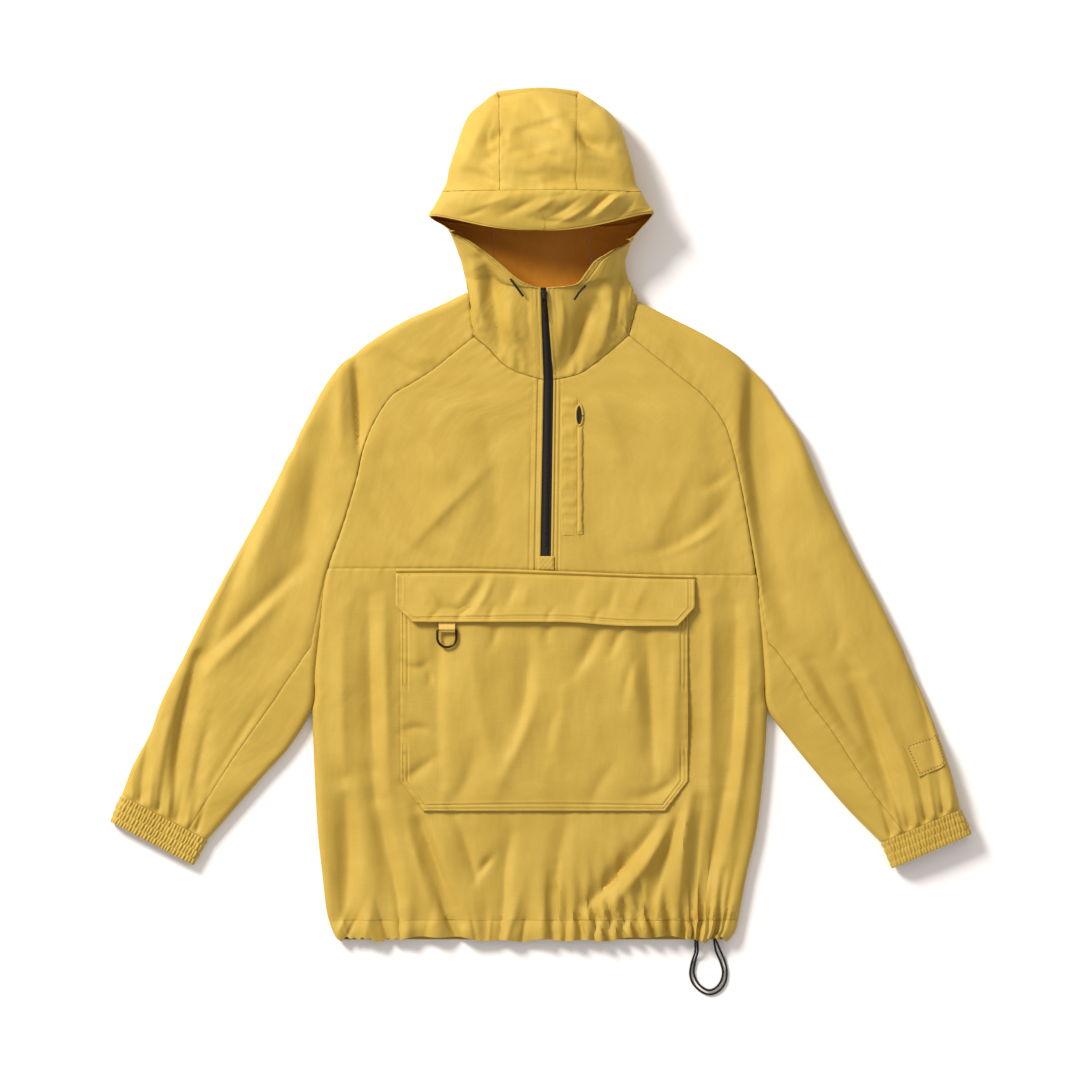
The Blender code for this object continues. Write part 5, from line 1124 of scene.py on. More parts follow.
# distance from the edge and depth of each row of stitches
BAG_GROOVES = ((3.2, 0.55), (8.4, 0.7))
FLAP_GROOVES = ((4.6, 0.4), (7.2, 0.8))

FLAP_FOLDS = (
    (-57, -75, -66, -97, -79, -118, 4, 5, 0.9), (-67, -75, -78, -97, -96, -116, 8, 5, -0.9),
    (-76, -74, -88, -92, -102, -108, 4, 5, 0.5), (-118, -108, -104, -114, -84, -112, 5, 4, -1),
    (-150, -80, -132, -98, -126, -116, 6, 10, 0.8), (-30, -80, -36, -98, -44, -112, 5, 9, -0.8),
    (52, -80, 44, -100, 40, -118, 8, 12, -0.8), (128, -80, 118, -100, 110, -118, 6, 10, 0.8),
    (-12, -84, -18, -100, -20, -114, 8, 8, 0.6), (92, -82, 84, -104, 80, -118, 6, 8, -0.7),
    (-134, -128, -128, -120, -118, -112, 3, 4, -0.7), (-100, -128, -96, -119, -88, -110, 3, 4, -0.8),
    (-62, -128, -60, -118, -54, -108, 3, 4, -0.7), (8, -130, 10, -120, 16, -112, 3, 4, -0.6),
    (64, -132, 66, -122, 72, -114, 3, 4, -0.6),
)


def bag_relief(row, column, base):
    """The pocket's turned edges stand full, with a groove along each of their rows of stitches."""
    along, run, y = arcs(base, 0), arcs(base, 1), base[..., 1]
    from_side = np.minimum(run, run[:, -1:] - run)
    distance = np.minimum(from_side, along[-1:] - along)
    at_slit = np.exp(-((row - SLIT_Y) / 36) ** 8) * (from_side < 14)
    ripple = 0.25 * np.sin(y * 1.05 + 0.6 * np.sin(y * 0.31)) * bell(distance, 6)
    return (stitched_edge(distance, BAG_GROOVES) + ripple) * (1 - at_slit)


def flap_relief(row, column, base):
    """The flap's seam bar and hem, with a groove along each row of stitches, and gathers drawn up by them."""
    along, run = arcs(base, 0), arcs(base, 1)
    from_edge = along[-1:] - along
    distance = np.minimum(from_edge, np.minimum(run, run[:, -1:] - run))
    ripple = 0.22 * np.sin(run * 0.9 + 0.8 * np.sin(run * 0.23)) * bell(from_edge - 7, 5)
    hem = stitched_edge(distance, FLAP_GROOVES) * smooth((row - 1.1) / 0.3)
    return hem + ripple - 1.1 * bell(row - 1, 0.16)


def pocket_column(x):
    return 1 + (x - POCKET_LEFT) / POCKET_WIDTH


def moved_out(surface, row, column, distance):
    """Points of a surface moved along its upward normal."""
    normal = facing(surface, row, column)
    return surface(row, column) + normal * np.sign(normal[..., 2:3]) * np.asarray(distance)[..., None]


def pocket_bag(y, c):
    """Pocket laid on the lower front, with clipped lower corners and open side slits."""
    clip = POCKET_CLIP * unit((POCKET_CLIP_Y - y) / (POCKET_CLIP_Y - POCKET_BOTTOM_Y))
    from_side = np.minimum(c - 1, 2 - c) * POCKET_WIDTH
    swell = POCKET_LIFT * smooth(from_side / 40) * smooth((y - POCKET_BOTTOM_Y) / 40)
    slit = SLIT_LIFT * bell(y - SLIT_Y, SLIT_HALF) * np.exp(-from_side / 30)
    return moved_out(front_lower, y, pocket_column(mix(POCKET_LEFT + clip, POCKET_RIGHT - clip, c - 1)),
                     0.5 + 0.06 * clip + LAYER + swell + slit)


def pocket_flap(t, c):
    """Flap over the pocket: t 0 to 1 is the topstitched bar along the seam, 1 to 3 the flap."""
    levels = [0, 0.5, 1, 1.4, 2, 3]
    stand = np.interp(t, levels, [1, 2.2, 1, 2.4, 5.6, FLAP_STAND])
    clip = FLAP_CLIP * unit(t - 2)
    x = mix(POCKET_LEFT - FLAP_OVERHANG + clip, POCKET_RIGHT + FLAP_OVERHANG + 3 - clip, c - 1)
    y = np.interp(t, levels, [-66.4, -68.6, -71.4, -75, FLAP_CLIP_Y, FLAP_BOTTOM_Y])
    y = y - 5 * smooth((x - 20) / 90) * unit((t - 1.4) / 1.6)
    column = np.where(x < POCKET_LEFT, 1 - (POCKET_LEFT - x) / FLANK, pocket_column(x))
    column = np.where(x > POCKET_RIGHT, 2 + (x - POCKET_RIGHT) / FLANK, column)
    return moved_out(front_lower, y, column, stand + LAYER)


def pocket_lines(length, pitch):
    return joined(np.linspace(1, 1.036, 13), lines(1.036, 1.964, length, "none", pitch),
                  np.linspace(1.964, 2, 13))


bag_rows = joined(lines(POCKET_TOP_Y, POCKET_CLIP_Y, 210, "none", 3.2), np.linspace(POCKET_CLIP_Y, -342, 9),
                  np.linspace(-342, POCKET_BOTTOM_Y, 15))
bag = cloth("pocket_body", pocket_bag, bag_rows, pocket_lines(320, 3.2), 1, LOWER_FOLDS + POCKET_FOLDS, "swe",
            extra=bag_relief)
dress(bag, yellow_nylon, "pocket_bag")
flap_rows = joined(np.linspace(0, 1, 9), np.linspace(1, 1.4, 7), np.linspace(1.4, 2, 13), np.linspace(2, 2.4, 5),
                   np.linspace(2.4, 3, 15))
flap = cloth("pocket_cover", pocket_flap, flap_rows, pocket_lines(332, 2.6), -1, LOWER_FOLDS + FLAP_FOLDS, "we",
             wall=1.2, extra=flap_relief)
dress(flap, yellow_nylon, "pocket_flap")


def sewing_thread(name, dark, light):
    material, tree = new_material(name)
    ply = add_node(tree, "TexNoise", {"Scale": 900}, "Fac")
    tone = add_node(tree, "Mix", {"Factor": ply, 6: linear(dark), 7: linear(light)}, 2, data_type="RGBA")
    shader = add_node(tree, "BsdfPrincipled", {"Base Color": tone, "Roughness": 0.5, "Sheen Weight": 0.2})
    add_node(tree, "OutputMaterial", {"Surface": shader})
    return material


# Bonded polyester thread, a shade deeper than the cloth, in a lockstitch. It lies a little proud of the cloth.
thread = sewing_thread("polyester sewing thread, mustard", "#A67E26", "#CDA546")
STITCH = (2.2, 0.42, 0.34)               # length, half width and height of a stitch
STITCH_PITCH = 3
SHORT_STITCH = (1.9, 0.34, 0.26)         # on webbing and on small parts
SHORT_PITCH = 2.4
STITCH_FACES = ((0, 1, 3), (0, 3, 2), (0, 2, 1), (1, 4, 6, 3), (3, 6, 5, 2), (2, 5, 4, 1), (7, 6, 4), (7, 5, 6),
                (7, 4, 5))


def walk(route, pitch, reach=0.4):
    """Places every so many millimetres along a route, and the direction at each."""
    route = np.asarray(route, float)
    run = np.append(0, np.cumsum(np.linalg.norm(np.diff(route, axis=0), axis=1)))
    here = np.arange(pitch / 2, run[-1], pitch)
    place, ahead, behind = (np.stack([np.interp(here + step, run, line) for line in route.T], axis=-1)
                            for step in (0, reach, -reach))
    return place, (ahead - behind) / np.linalg.norm(ahead - behind, axis=1)[:, None]


def sewn(name, piece, routes, pitch=STITCH_PITCH, size=STITCH, yarn=thread):
    """Rows of stitches on a piece, along plan routes in the garment's own millimetres."""
    below = BVHTree.FromPolygons([tuple(vertex.co) for vertex in piece.data.vertices],
                                 [tuple(face.vertices) for face in piece.data.polygons])
    length, half, high = size
    places, faces = [], []
    for route in routes:
        for place, run in zip(*walk(route, pitch)):
            hit, normal, _, _ = below.ray_cast(Vector((*(place + SHIFT[:2]) * MM, 0.3)), Vector((0, 0, -1)))
            if hit is None or hit.z < 0.001 or normal.z < 0.15:
                continue
            base, up, along = np.array(hit) / MM, np.array(normal), np.array([*run, 0])
            along = along - up * along.dot(up)
            along /= np.linalg.norm(along)
            side = np.cross(up, along)
            faces += [[len(places) + corner for corner in face] for face in STITCH_FACES]
            places.append(base - along * length / 2 - up * 0.12)
            for share in (-0.28, 0.28):
                ring = base + along * length * share
                places += [ring - side * half - up * 0.1, ring + up * high, ring + side * half - up * 0.1]
            places.append(base + along * length / 2 - up * 0.12)
    return dress(mesh_piece(name, places, faces, sharp=180), yarn)


def on_rows(surface, rows, columns):
    """Plan route over a surface."""
    return surface(*np.broadcast_arrays(np.asarray(rows, float), np.asarray(columns, float)))[..., :2]


def bartack(x, y, run=7):
    """Close rows of stitches that take the strain at the end of an opening, as short plan routes across it."""
    return [((x - 1.1, y + step), (x + 1.1, y + step)) for step in np.arange(0, run, 0.7)]


many = np.linspace(0, 1, 160)
upper_slit, lower_slit = SLIT_Y + SLIT_HALF * 0.85, SLIT_Y - SLIT_HALF * 0.85
under_flap = FLAP_BOTTOM_Y + 1
bag_routes, flap_routes = [], [on_rows(pocket_flap, 0.92, 1 + many)]
for inset, _ in BAG_GROOVES:
    share, bottom = inset / POCKET_WIDTH, POCKET_BOTTOM_Y + inset
    for column in (1 + share, 2 - share):
        for high, low in ((under_flap, upper_slit), (lower_slit, POCKET_CLIP_Y), (POCKET_CLIP_Y, bottom)):
            bag_routes.append(on_rows(pocket_bag, mix(high, low, many), column))
    bag_routes.append(on_rows(pocket_bag, bottom, mix(1 + share, 2 - share, many)))
for inset, _ in FLAP_GROOVES:
    share, low = inset / FLAP_WIDTH, 3 - inset / FLAP_DROP
    flap_routes.append(on_rows(pocket_flap, low, mix(1 + share, 2 - share, many)))
    for column in (1 + share, 2 - share):
        flap_routes.append(on_rows(pocket_flap, mix(1.15, low, many), column))
sewn("pocket_stitches", bag, bag_routes)
sewn("flap_stitches", flap, flap_routes)
bartacks = [route for x in (POCKET_LEFT + 4.5, POCKET_RIGHT - 6) for y in (upper_slit, lower_slit - 7)
            for route in bartack(x, y)]
sewn("pocket_bartacks", bag, bartacks, 2, (2.6, 0.4, 0.3))


# -----------------------------------------------------------------------------------------------------------
# Ring and its tab
# A cast D-shaped ring for keys, 23 mm across inside its tab, hung from a doubled tab of 20 mm webbing that is
# sewn down under the flap. The ring swings on its straight bar; the tab stays.

RING_WIRE = 1.3
RING_HALF_WIDTH = 11.4
RING_DROP = 9
BAR_X, BAR_Y, BAR_Z = -112.4, -139, 23
TAB_WIDTH = 19.4
TAB_WALL = 1.5
TAB_END_Y = -123

# Nylon webbing: close warp ribs run along the tab.
webbing, tree = new_material("nylon webbing, mustard")
cut = add_node(tree, "Attribute", out="Vector", attribute_name="grain")
ribs = add_node(tree, "TexWave", {"Vector": cut, "Scale": WAVE_UNIT / 1.5}, "Fac", bands_direction="X")
weft = add_node(tree, "TexWave", {"Vector": cut, "Scale": WAVE_UNIT / 1.1, "Distortion": 0.5}, "Fac",
                bands_direction="Y")
tone = add_node(tree, "Mix", {"Factor": ribs, 6: linear("#C29A3A"), 7: linear("#DDBC62")}, 2, data_type="RGBA")
threads = add_node(tree, "Math", {0: ribs, 1: weft}, operation="ADD")
relief = add_node(tree, "Bump", {"Height": threads, "Strength": 0.7, "Distance": 0.0003})
shader = add_node(tree, "BsdfPrincipled", {"Base Color": tone, "Roughness": 0.6, "Sheen Weight": 0.15,
                                           "Normal": relief})
add_node(tree, "OutputMaterial", {"Surface": shader})

around = RING_WIRE + SEAM + TAB_WALL / 2
under = BAR_Z - around
over = under + TAB_WALL
tab_run = np.array([(y, under) for y in np.linspace(TAB_END_Y, BAR_Y, 9)[:-1]]
                   + [(BAR_Y + around * math.cos(angle), BAR_Z + around * math.sin(angle))
                      for angle in np.radians(np.linspace(270, 90, 13))]
                   + [(-134.5, BAR_Z + around - 0.7), (-132, over + 0.6)]
                   + [(y, over + 0.2) for y in (-130, -126.5, TAB_END_Y)])


def tab_surface(t, u):
    """Outer face of the tab: t 0 to 1 under the bar, round it and back, u 0 to 1 across."""
    share = np.clip(t, -0.05, 1.05) * (len(tab_run) - 1)
    (y, z), ahead, behind = ([table_value(tab_run, k, share + step) for k in (0, 1)]
                             for step in (0, 0.05, -0.05))
    along_y, along_z = ahead[0] - behind[0], ahead[1] - behind[1]
    out = TAB_WALL / 2 - 0.1875 * bell(np.minimum(u, 1 - u), 0.04)       # the selvedges are thinner
    out = out / np.maximum(np.hypot(along_y, along_z), 1e-9)
    return points(BAR_X + TAB_WIDTH * (u - 0.5), y + out * along_z, z - out * along_y)


tab = cloth("ring_loop_webbing", tab_surface, np.linspace(0, 1, 53), np.linspace(0, 1, 21), -1,
            wall=TAB_WALL - 0.1)
dress(tab, webbing, "ring_tab", slot="webbing")
left, right, near, far = BAR_X - 8, BAR_X + 8, -124.6, -131.2
sewn("ring_tab_stitches", tab, [((left, near), (right, near)), ((left, far), (right, far)),
                                ((left, near), (right, far)), ((left, far), (right, near))],
     SHORT_PITCH, SHORT_STITCH)

# Cast zinc alloy under a black electroplate, tinted brown and flecked at random with a lighter brown:
# painted reflection of the yellow cloth round it, and painted highlights.
black_zinc, tree = new_material("zinc alloy, black plated")
painted_glint_flecks = add_node(tree, "TexNoise", {"Scale": 260, "Detail": 4}, "Fac")
tone = add_node(tree, "Mix", {"Factor": painted_glint_flecks, 6: linear("#1C1613"), 7: linear("#54402C")}, 2, data_type="RGBA")
dull = add_node(tree, "MapRange", {"Value": painted_glint_flecks, "To Min": 0.2, "To Max": 0.42})
shader = add_node(tree, "BsdfPrincipled", {"Base Color": tone, "Roughness": dull, "Metallic": 1})
add_node(tree, "OutputMaterial", {"Surface": shader})

corner = [(1.2 - RING_HALF_WIDTH, 0), (0.35 - RING_HALF_WIDTH, -0.35), (-RING_HALF_WIDTH, -1.2)]
bow = corner + [(RING_HALF_WIDTH * math.cos(angle), RING_HALF_WIDTH * math.sin(angle) - RING_DROP)
                for angle in np.radians(np.linspace(180, 360, 41))]
bow += [(-x, y) for x, y in corner[::-1]]
bow += [(x, 0) for x in np.linspace(RING_HALF_WIDTH - 3, 3 - RING_HALF_WIDTH, 8)]
key_ring = new_curve("key_ring", [np.array([(BAR_X + x, BAR_Y + y, BAR_Z) for x, y in bow]) + SHIFT],
                     dimensions="3D", bevel_depth=1.5 * MM, bevel_resolution=5)
dress(key_ring, black_zinc, "d_ring", body="ring", slot="metal")


# -----------------------------------------------------------------------------------------------------------
# Front zip
# A half-length coil zip, 12.6 mm across between the faced edges: black tape, two rows of nylon coil that close
# into one chain, a painted slider, and a flat metal pull that hangs down from it. It is closed to the top.

ZIP_TOP_Y = 272
ZIP_BOTTOM_Y = -50
CHAIN_RISE = 1
CHAIN_HALF_WIDTH = 2.4
CHAIN_WIRE = 0.52
SLIDER_Y = 262
TOOTH_PITCH = 1.5
# places across the tape, closer together where the chain rises from it
TAPE_SHARES = (0, 0.06, 0.14, 0.2, 0.26, 0.32, 0.4, 0.5, 0.6, 0.68, 0.74, 0.8, 0.86, 0.94, 1)
# reach across the chain, thickness and lift of each ring of a turn of the coil
TURN_RINGS = ((-0.35, 0.55, -0.1), (0.05, 1, 0.12), (0.55, 1, 0.12), (0.9, 0.85, -0.05), (1, 0.5, -0.35))
HINGE = 3.6              # from the foot of the slider up to the axis of its pull
PULL_HALF_THICK = 0.6
PULL_BEVEL = 0.2


def zip_place(t, c):
    """Zip tape: t 14 to 17 down the collar, 17 to 18 down the chest; c 0 to 1 between the cloth edges."""
    row = np.clip(t, COLLAR_ROW, NECK_ROW)
    v = unit(t - NECK_ROW) * (LEFT_NECK[0][1] - ZIP_BOTTOM_Y) / (LEFT_NECK[0][1] - SEAM_Y)
    zero = np.zeros_like(row)
    left, right = (pick(t > NECK_ROW, front_upper(side, v, zero + 1), hood_side(side, row, zero))
                   for side in (-1, 1))
    width = np.linalg.norm(right - left, axis=-1)
    place = mix(left, right, ((0.3 + (width - 0.6) * c) / width)[..., None])
    place[..., 2] += CHAIN_RISE * smooth((0.28 - np.abs(c - 0.5)) / 0.08) - 0.6
    return place


# Woven polyester tape, black, with fine ribs along it.
zip_tape_cloth, tree = new_material("woven polyester zip tape, black")
cut = add_node(tree, "Attribute", out="Vector", attribute_name="grain")
ribs = add_node(tree, "TexWave", {"Vector": cut, "Scale": WAVE_UNIT}, "Fac", bands_direction="X")
tone = add_node(tree, "Mix", {"Factor": ribs, 6: linear("#100D0C"), 7: linear("#221D1B")}, 2, data_type="RGBA")
relief = add_node(tree, "Bump", {"Height": ribs, "Strength": 0.5, "Distance": 0.0002})
shader = add_node(tree, "BsdfPrincipled", {"Base Color": tone, "Roughness": 0.8, "Specular IOR Level": 0.25,
                                           "Normal": relief})
add_node(tree, "OutputMaterial", {"Surface": shader})
# Nylon monofilament coil and the paint of the slider: black, smooth and a little glossy.
black_nylon, tree = new_material("moulded nylon, black")
mottle = add_node(tree, "TexNoise", {"Scale": 700}, "Fac")
tone = add_node(tree, "Mix", {"Factor": mottle, 6: linear("#120F0E"), 7: linear("#262220")}, 2, data_type="RGBA")
shader = add_node(tree, "BsdfPrincipled", {"Base Color": tone, "Roughness": 0.42, "Specular IOR Level": 0.25})
add_node(tree, "OutputMaterial", {"Surface": shader})

tape = cloth("zip_tapes", zip_place, joined(np.linspace(COLLAR_ROW, NECK_ROW, 40),
                                            np.linspace(NECK_ROW, NECK_ROW + 1, 80)), TAPE_SHARES, -1, wall=0.9)
dress(tape, zip_tape_cloth, "zip_tape", slot="zip")


def tube_faces(rings, corners, first=0):
    """Faces round a row of rings, and over the first and the last of them."""
    sides = [[first + corners * ring + k, first + corners * ring + (k + 1) % corners,
              first + corners * (ring + 1) + (k + 1) % corners, first + corners * (ring + 1) + k]
             for ring in range(rings - 1) for k in range(corners)]
    end = first + corners * (rings - 1)
    return sides + [list(range(first, first + corners))[::-1], list(range(end, end + corners))]


def coil(name, centre, side_reach, pitch, size):
    """Turns of a coil along a line of places: each is a short round bar across it, left and right in turn."""
    places, faces = [], []
    for number, (middle, along) in enumerate(zip(*walk(centre, pitch, 0.5))):
        side = np.cross(along, [0, 0, 1])
        side = side / np.linalg.norm(side) * (1 if number % 2 else -1)
        up = np.cross(side, along)
        up = up * np.sign(up[2])
        faces += tube_faces(len(TURN_RINGS), 6, len(places))
        for reach, grow, lift in TURN_RINGS:
            ring = middle + side * side_reach * reach + up * lift
            places += [ring + size * grow * (along * math.cos(angle) + up * math.sin(angle))
                       for angle in np.radians(np.arange(6) * 60)]
    return dress(mesh_piece(name, np.array(places) + SHIFT, faces, sharp=60), black_nylon, slot="zip")


chain_rows = joined(np.linspace(14.3, NECK_ROW, 60), np.linspace(NECK_ROW, NECK_ROW + 0.94, 120))
coil("zip_coil", zip_place(chain_rows, 0.5) + (0, 0, 0.25), CHAIN_HALF_WIDTH, TOOTH_PITCH, CHAIN_WIRE)

slider_row = mix(COLLAR_ROW, NECK_ROW, (ZIP_TOP_Y - SLIDER_Y) / (ZIP_TOP_Y - LEFT_NECK[0][1]))
slider_here, slider_ahead = zip_place(slider_row + np.array([0, 0.3]), 0.5)
slope = math.atan2(slider_here[2] - slider_ahead[2], slider_here[1] - slider_ahead[1])
slider_base = slider_here + SHIFT + (0, 0.06, 1.16)


def stacked(name, outline, levels):
    """Solid of a closed plan outline at several heights; each level is (height, inset)."""
    middle = outline.mean(axis=0)
    reach = np.abs(outline - middle).max(axis=0)
    places = [(x, y, height) for height, inset in levels
              for x, y in middle + (outline - middle) * (1 - inset / reach)]
    return mesh_piece(name, places, tube_faces(len(levels), len(outline)), sharp=35)


def bar_between(name, route, half_width, half_thick):
    """Flat bar swept along a y-z route, with a chamfered section."""
    along = np.gradient(route, axis=0)
    along = along / np.linalg.norm(along, axis=1)[:, None]
    section = [(1, 0.5), (0.75, 1), (-0.75, 1), (-1, 0.5), (-1, -0.5), (-0.75, -1), (0.75, -1), (1, -0.5)]
    places = [(half_width * side, y - half_thick * out * run_z, z + half_thick * out * run_y)
              for (y, z), (run_y, run_z) in zip(route, along) for side, out in section]
    return mesh_piece(name, places, tube_faces(len(route), 8), sharp=40)


def placed(item, place, slope=0):
    item.location = place * MM
    item.rotation_euler = (slope, 0, 0)
    bpy.context.view_layer.update()
    return item


def mirrored(half):
    """A half outline and its mirror image, which runs back; a place on the axis is taken once."""
    return np.array(half + [(-x, y) for x, y in half[::-1] if x])


# Body of the slider, from its nose down one side, and the bridge over it that holds the pull.
half_body = [(0, 6.5), (1.9, 6.4), (3.4, 5.9), (4.2, 4.9), (4.3, 3.6), (4.1, 1.8), (3.6, -0.6), (3.3, -2.6),
             (3.2, -4.4), (2.9, -5.6), (2.2, -6.3), (1, -6.5)]
slider = stacked("zip_slider_body", mirrored(half_body)[::-1],
                 [(-0.8, 0.35), (-0.5, 0), (1.7, 0), (2, 0.25), (2.2, 0.8)])
dress(placed(slider, slider_base, slope), black_nylon, "zip_slider", slot="zip")
half_arch = [(-3.9, 1.6), (-3.8, 3), (-3.3, 4.3), (-2.4, 4.95), (-1.2, 5.15)]
bridge = bar_between("zip_slider_bridge", mirrored(half_arch), 1.2, 0.4)
dress(placed(bridge, slider_base, slope), black_nylon, slot="zip")


def round_box(half_width, low, high, corner):
    """Plan outline of a box with round corners."""
    corners = ((1, high - corner, 0), (-1, high - corner, 90), (-1, low + corner, 180), (1, low + corner, 270))
    return [(side * (half_width - corner) + corner * math.cos(angle), level + corner * math.sin(angle), 0)
            for side, level, start in corners for angle in np.radians(np.arange(start, start + 91, 15))]


# The pull is a flat stamping: its rim, the eye that the bridge holds, and a long hole in its end.
pull = new_curve("zip_pull_tab", (round_box(2.55, -25.8, 0.6, 1.9), round_box(1.55, -6.5, -0.55, 0.7),
                                  round_box(1.3, -23.4, -12, 1.2)), dimensions="2D", fill_mode="BOTH",
                 extrude=(PULL_HALF_THICK - PULL_BEVEL) * MM, bevel_depth=PULL_BEVEL * MM, bevel_resolution=2,
                 offset=-PULL_BEVEL * MM)
placed(pull, slider_base + HINGE * np.array([0, -math.sin(slope), math.cos(slope)]), slope)
dress(pull, black_zinc, "zip_pull", body="zip_pull", slot="metal")


def on_front(x, y, rise):
    """Places that stand so far out from the upper front."""
    return moved_out(lambda py, px: points(px, py, layer_height(px, py)), y, x, rise)


def layer_patch(box, v, u):
    """Strip that lies flat on the upper front; its box is left, right, low, high and how far it stands out."""
    left, right, low, high, rise = box
    return on_front(mix(left, right, u), mix(low, high, v), rise)


def from_ends(share):
    return np.minimum(share, 1 - share)


def rounded_edge(row, column, base):
    edge = np.minimum(from_ends(row) * 13, from_ends(column) * 18)
    return -0.9 * bell(edge, 1) + 0.25 * np.sin(base[..., 0] * 1.1) * np.sin(base[..., 1] * 0.9)


def round_corners(left, right, low, high):
    """The four sides of a box, each from corner to corner."""
    corners = ((left, low), (right, low), (right, high), (left, high))
    return list(zip(corners, corners[1:] + corners[:1]))


# Folds of the front's cloth pressed flat over the end of the tapes, as a small stitched stop.
garage = cloth("zip_stop", partial(layer_patch, (-3.5, 16, -66.4, -50.2, 2.4)), np.linspace(0, 1, 15),
               np.linspace(0, 1, 19), 1, extra=rounded_edge)
dress(garage, yellow_nylon, "zip_garage")
sewn("zip_stop_stitches", garage, round_corners(-1.7, 14.2, -62.6, -52.4), SHORT_PITCH, SHORT_STITCH)


def inset_route(surface, rows, columns, distance):
    """Plan route at a distance from the first of the columns of a surface, over its rows."""
    place = surface(*np.meshgrid(rows, columns, indexing="ij"))
    run = arcs(place, 1)
    return np.array([[np.interp(distance, run[k], place[k, :, axis]) for axis in (0, 1)]
                     for k in range(len(rows))])


# Rows of stitches that hold the facings of the zip and the drawcord tunnel of the hood.
collar_rows = (np.linspace(COLLAR_ROW + 0.05, NECK_ROW - 0.02, 50), COLLAR_GROOVES)
tunnel_rows = (np.linspace(OPENING_ROW + 0.1, COLLAR_ROW - 0.1, 80), TUNNEL_GROOVES)
for label, side in (("left", -1), ("right", 1)):
    sewn("zip_facing_stitches_" + label, bpy.data.objects["upper_front_" + label],
         [inset_route(partial(front_upper, side), np.linspace(0.02, 0.955, 90), np.linspace(1, 0.6, 60),
                      distance) for distance, _ in ZIP_GROOVES[side]])
    sewn("collar_stitches_" + label, bpy.data.objects["hood_half_" + label],
         [inset_route(partial(hood_side, side), rows, np.linspace(0, 0.3, 60), distance)
          for rows, grooves in (collar_rows, tunnel_rows) for distance, _ in grooves])


# -----------------------------------------------------------------------------------------------------------
# Hood cords
# Two short runs of the same covered elastic, which come out of eyelets in the drawcord tunnel and go back in at
# the zip. They are held at both ends, and neither has a stopper.

HOOD_CORDS = {
    "left": ((-36.2, 282.5, 48.2), (-29, 273, 49.4), (-20.9, 261.9, 43.6)),
    "right": ((54.2, 274.5, 43.2), (47, 267, 44.6), (40.6, 257.5, 41)),
}
for label, route in HOOD_CORDS.items():
    dress(cord_curve("hood_drawcord_" + label, route)[0], black_cord, "hood_cord_" + label, slot="cord")


# -----------------------------------------------------------------------------------------------------------
# Chest pocket
# A welt of the same nylon, set in the wearer's left front and puckered by its stitching, with a fine black coil
# zip along its side. The zip's moulded pull hangs in line with it.

CHEST_WELT = (25, 43.9, -25, 143, 1.1)
CHEST_ZIP = (38, 48.4, -21, 131.5, 0.32)
CHEST_LIP = (44.1, 50.6, -24, 106)
CHEST_PULL = (46.5, 129.4, 16.3)
RIM_MIDDLE = (46.6, 119)
RIM_HALF = (4.1, 12.4)
DROP_HALF_WIDTH = 3.1
DROP_HALF_LENGTH = 10


def welt_puckers(row, column, base):
    left, right, low, high, _ = CHEST_WELT
    edge, y = from_ends(column) * (right - left), base[..., 1]
    waves = np.sin(y / 2.6 + 1.6 * np.sin(y / 11) + column) + 0.7 * np.sin(y / 4.7 - column * 2)
    waves = np.maximum(0.42 * waves * smooth(edge / 4), -0.3)
    at_ends = 0.8 * bell(from_ends(row) * (high - low), 4)
    return waves - 0.3 * bell(edge - 2.4, 0.8) - 0.5 * bell(edge, 1.1) - at_ends


def rolled(u):
    """Height of a rolled strip of cloth, over its width."""
    return np.sin(np.pi * unit(u)) ** 0.6


def chest_lip(v, u):
    """Folded lip that lies over the zip's chain, full like a cord; u 0 to 1 across it."""
    left, right, low, high = CHEST_LIP
    waver = 0.35 * np.sin(v * 31) + 0.2 * np.sin(v * 83)
    ends = smooth(v / 0.04) * smooth((1 - v) / 0.06)
    return on_front(mix(left, right + waver, u), mix(low, high, v), 1 + 1.5 * ends * rolled(u))


def chest_rim(t, u):
    """Bound edge of the oval opening for the pull: t 0 to 1 round the oval, u 0 to 1 over it."""
    out = (u - 0.5) * 0.46
    return on_front(RIM_MIDDLE[0] + RIM_HALF[0] * (1 + out) * np.cos(TAU * t),
                    RIM_MIDDLE[1] + RIM_HALF[1] * (1 + out / 2) * np.sin(TAU * t), 0.95 + 1.4 * rolled(u))


welt = cloth("chest_pocket_welt", partial(layer_patch, CHEST_WELT), np.linspace(0, 1, 150),
             np.linspace(0, 1, 23), 1, UPPER_FOLDS, extra=welt_puckers)
dress(welt, yellow_nylon, "chest_welt")
strip = cloth("chest_zip_tape", partial(layer_patch, CHEST_ZIP), np.linspace(0, 1, 120),
              np.linspace(0, 1, 13), 1, UPPER_FOLDS, wall=0.3)
dress(strip, zip_tape_cloth, slot="zip")
lip = cloth("chest_pocket_lip", chest_lip, np.linspace(0, 1, 110), np.linspace(0, 1, 11), 1, UPPER_FOLDS,
            wall=0.5)
dress(lip, yellow_nylon)
rim = cloth("chest_pull_rim", chest_rim, np.linspace(0, 1, 49)[:-1], np.linspace(0, 1, 9), 1, UPPER_FOLDS,
            wall=0.5)
dress(rim, yellow_nylon)
sewn("chest_welt_stitches", welt, [((27.4, -22), (27.4, 140)), ((41.5, -22), (41.5, 104))])
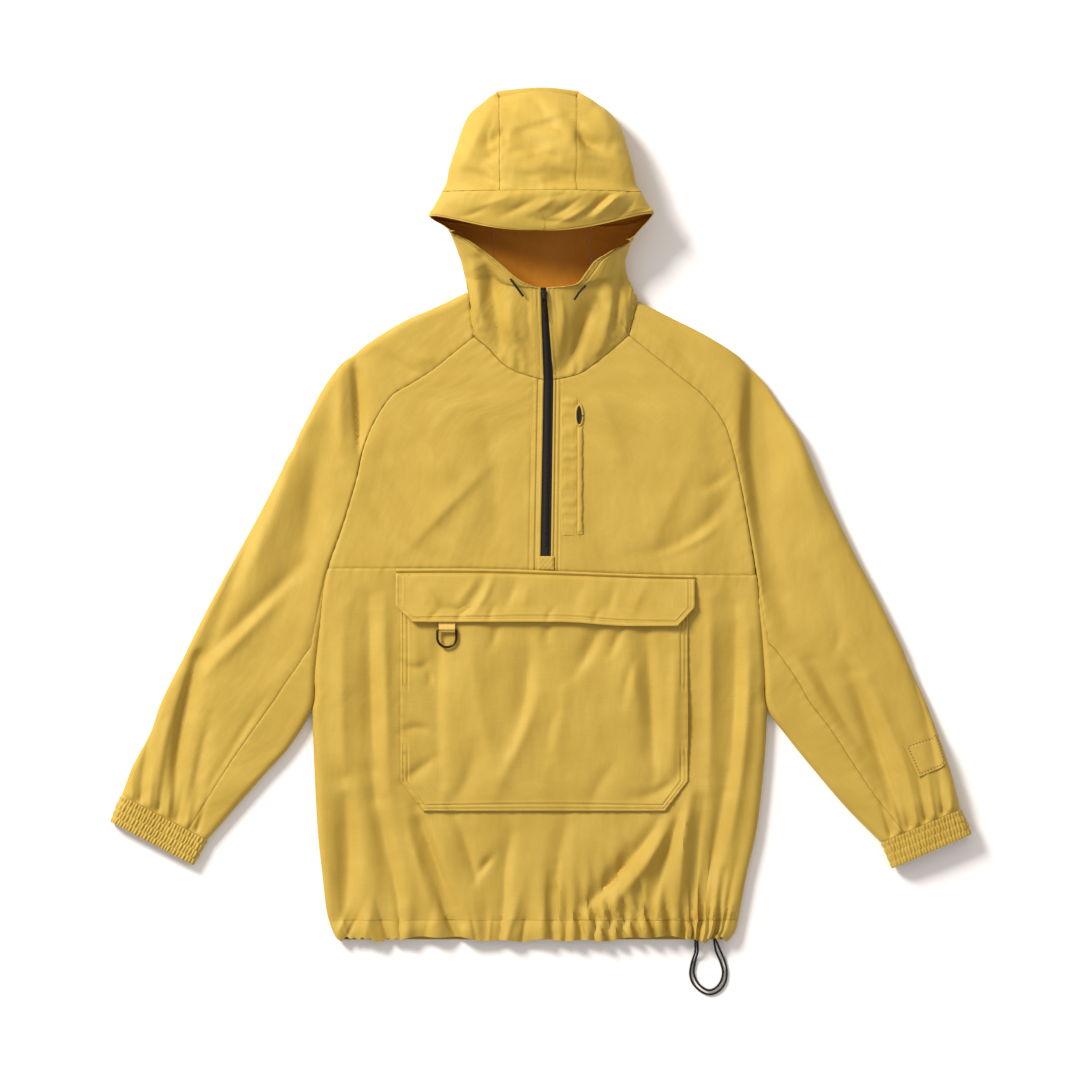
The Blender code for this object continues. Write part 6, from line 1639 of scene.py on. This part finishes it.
sewn("chest_bartacks", bpy.data.objects["upper_front_right"], bartack(46.4, 134.6, 4) + bartack(46.4, -28, 4), 2,
     (2.4, 0.4, 0.3))

# The pull: a moulded drop with a hollow in its face, on a small wire eye.
drop = np.array([(DROP_HALF_WIDTH * math.cos(angle) * (1 - 0.35 * math.sin(angle)),
                  DROP_HALF_LENGTH * (math.sin(angle) - 1)) for angle in np.radians(np.arange(0, 360, 9))])
chest_pull = stacked("chest_pull_drop", drop, [(-1, 0.6), (-0.6, 0), (0.5, 0), (0.85, 0.25), (1, 0.7),
                                               (0.75, 1.1), (0.6, 1.6)])
dress(placed(chest_pull, np.array(CHEST_PULL)), black_nylon, "chest_zip_pull", body="chest_pull", slot="zip")


# -----------------------------------------------------------------------------------------------------------
# Sleeve patch
# A small bare patch of the same nylon, sewn round its edge on the outer side of the left sleeve near the cuff.

PATCH_ROWS = (13.42, 14.42)
PATCH_SHARES = (0.755, 1.2)
PATCH_SLANT = 0.25
PATCH_RISE = 1.9
PATCH_SIZE = 38


def patch_surface(v, u):
    return moved_out(partial(sleeve, RIGHT_SLEEVE), mix(*PATCH_ROWS, v) + PATCH_SLANT * (1 - u),
                     mix(*PATCH_SHARES, u), PATCH_RISE)


def patch_edge(row, column, base):
    edge = np.minimum(from_ends(row), from_ends(column)) * PATCH_SIZE
    return -0.3 * bell(edge, 1) - 0.5 * bell(edge - 2.6, 1)


patch = cloth("bare_patch", patch_surface, np.linspace(0, 1, 41), np.linspace(0, 1, 41), -1, ARM_FOLDS,
              wall=0.5, extra=patch_edge)
dress(patch, yellow_nylon, "sleeve_patch")

# The patch is sewn on with a heavier polyester thread, browner than the seams' and drawn coarser than it is.
brown_thread = sewing_thread("polyester topstitch thread, brown", "#7A5018", "#8E6424")
sewn("patch_stitches", patch, [on_rows(patch_surface, np.linspace(v, next_v, 30), np.linspace(u, next_u, 30))
                               for (v, u), (next_v, next_u) in round_corners(0.07, 0.93, 0.07, 0.93)],
     4, (2.7, 0.9, 0.6), brown_thread)
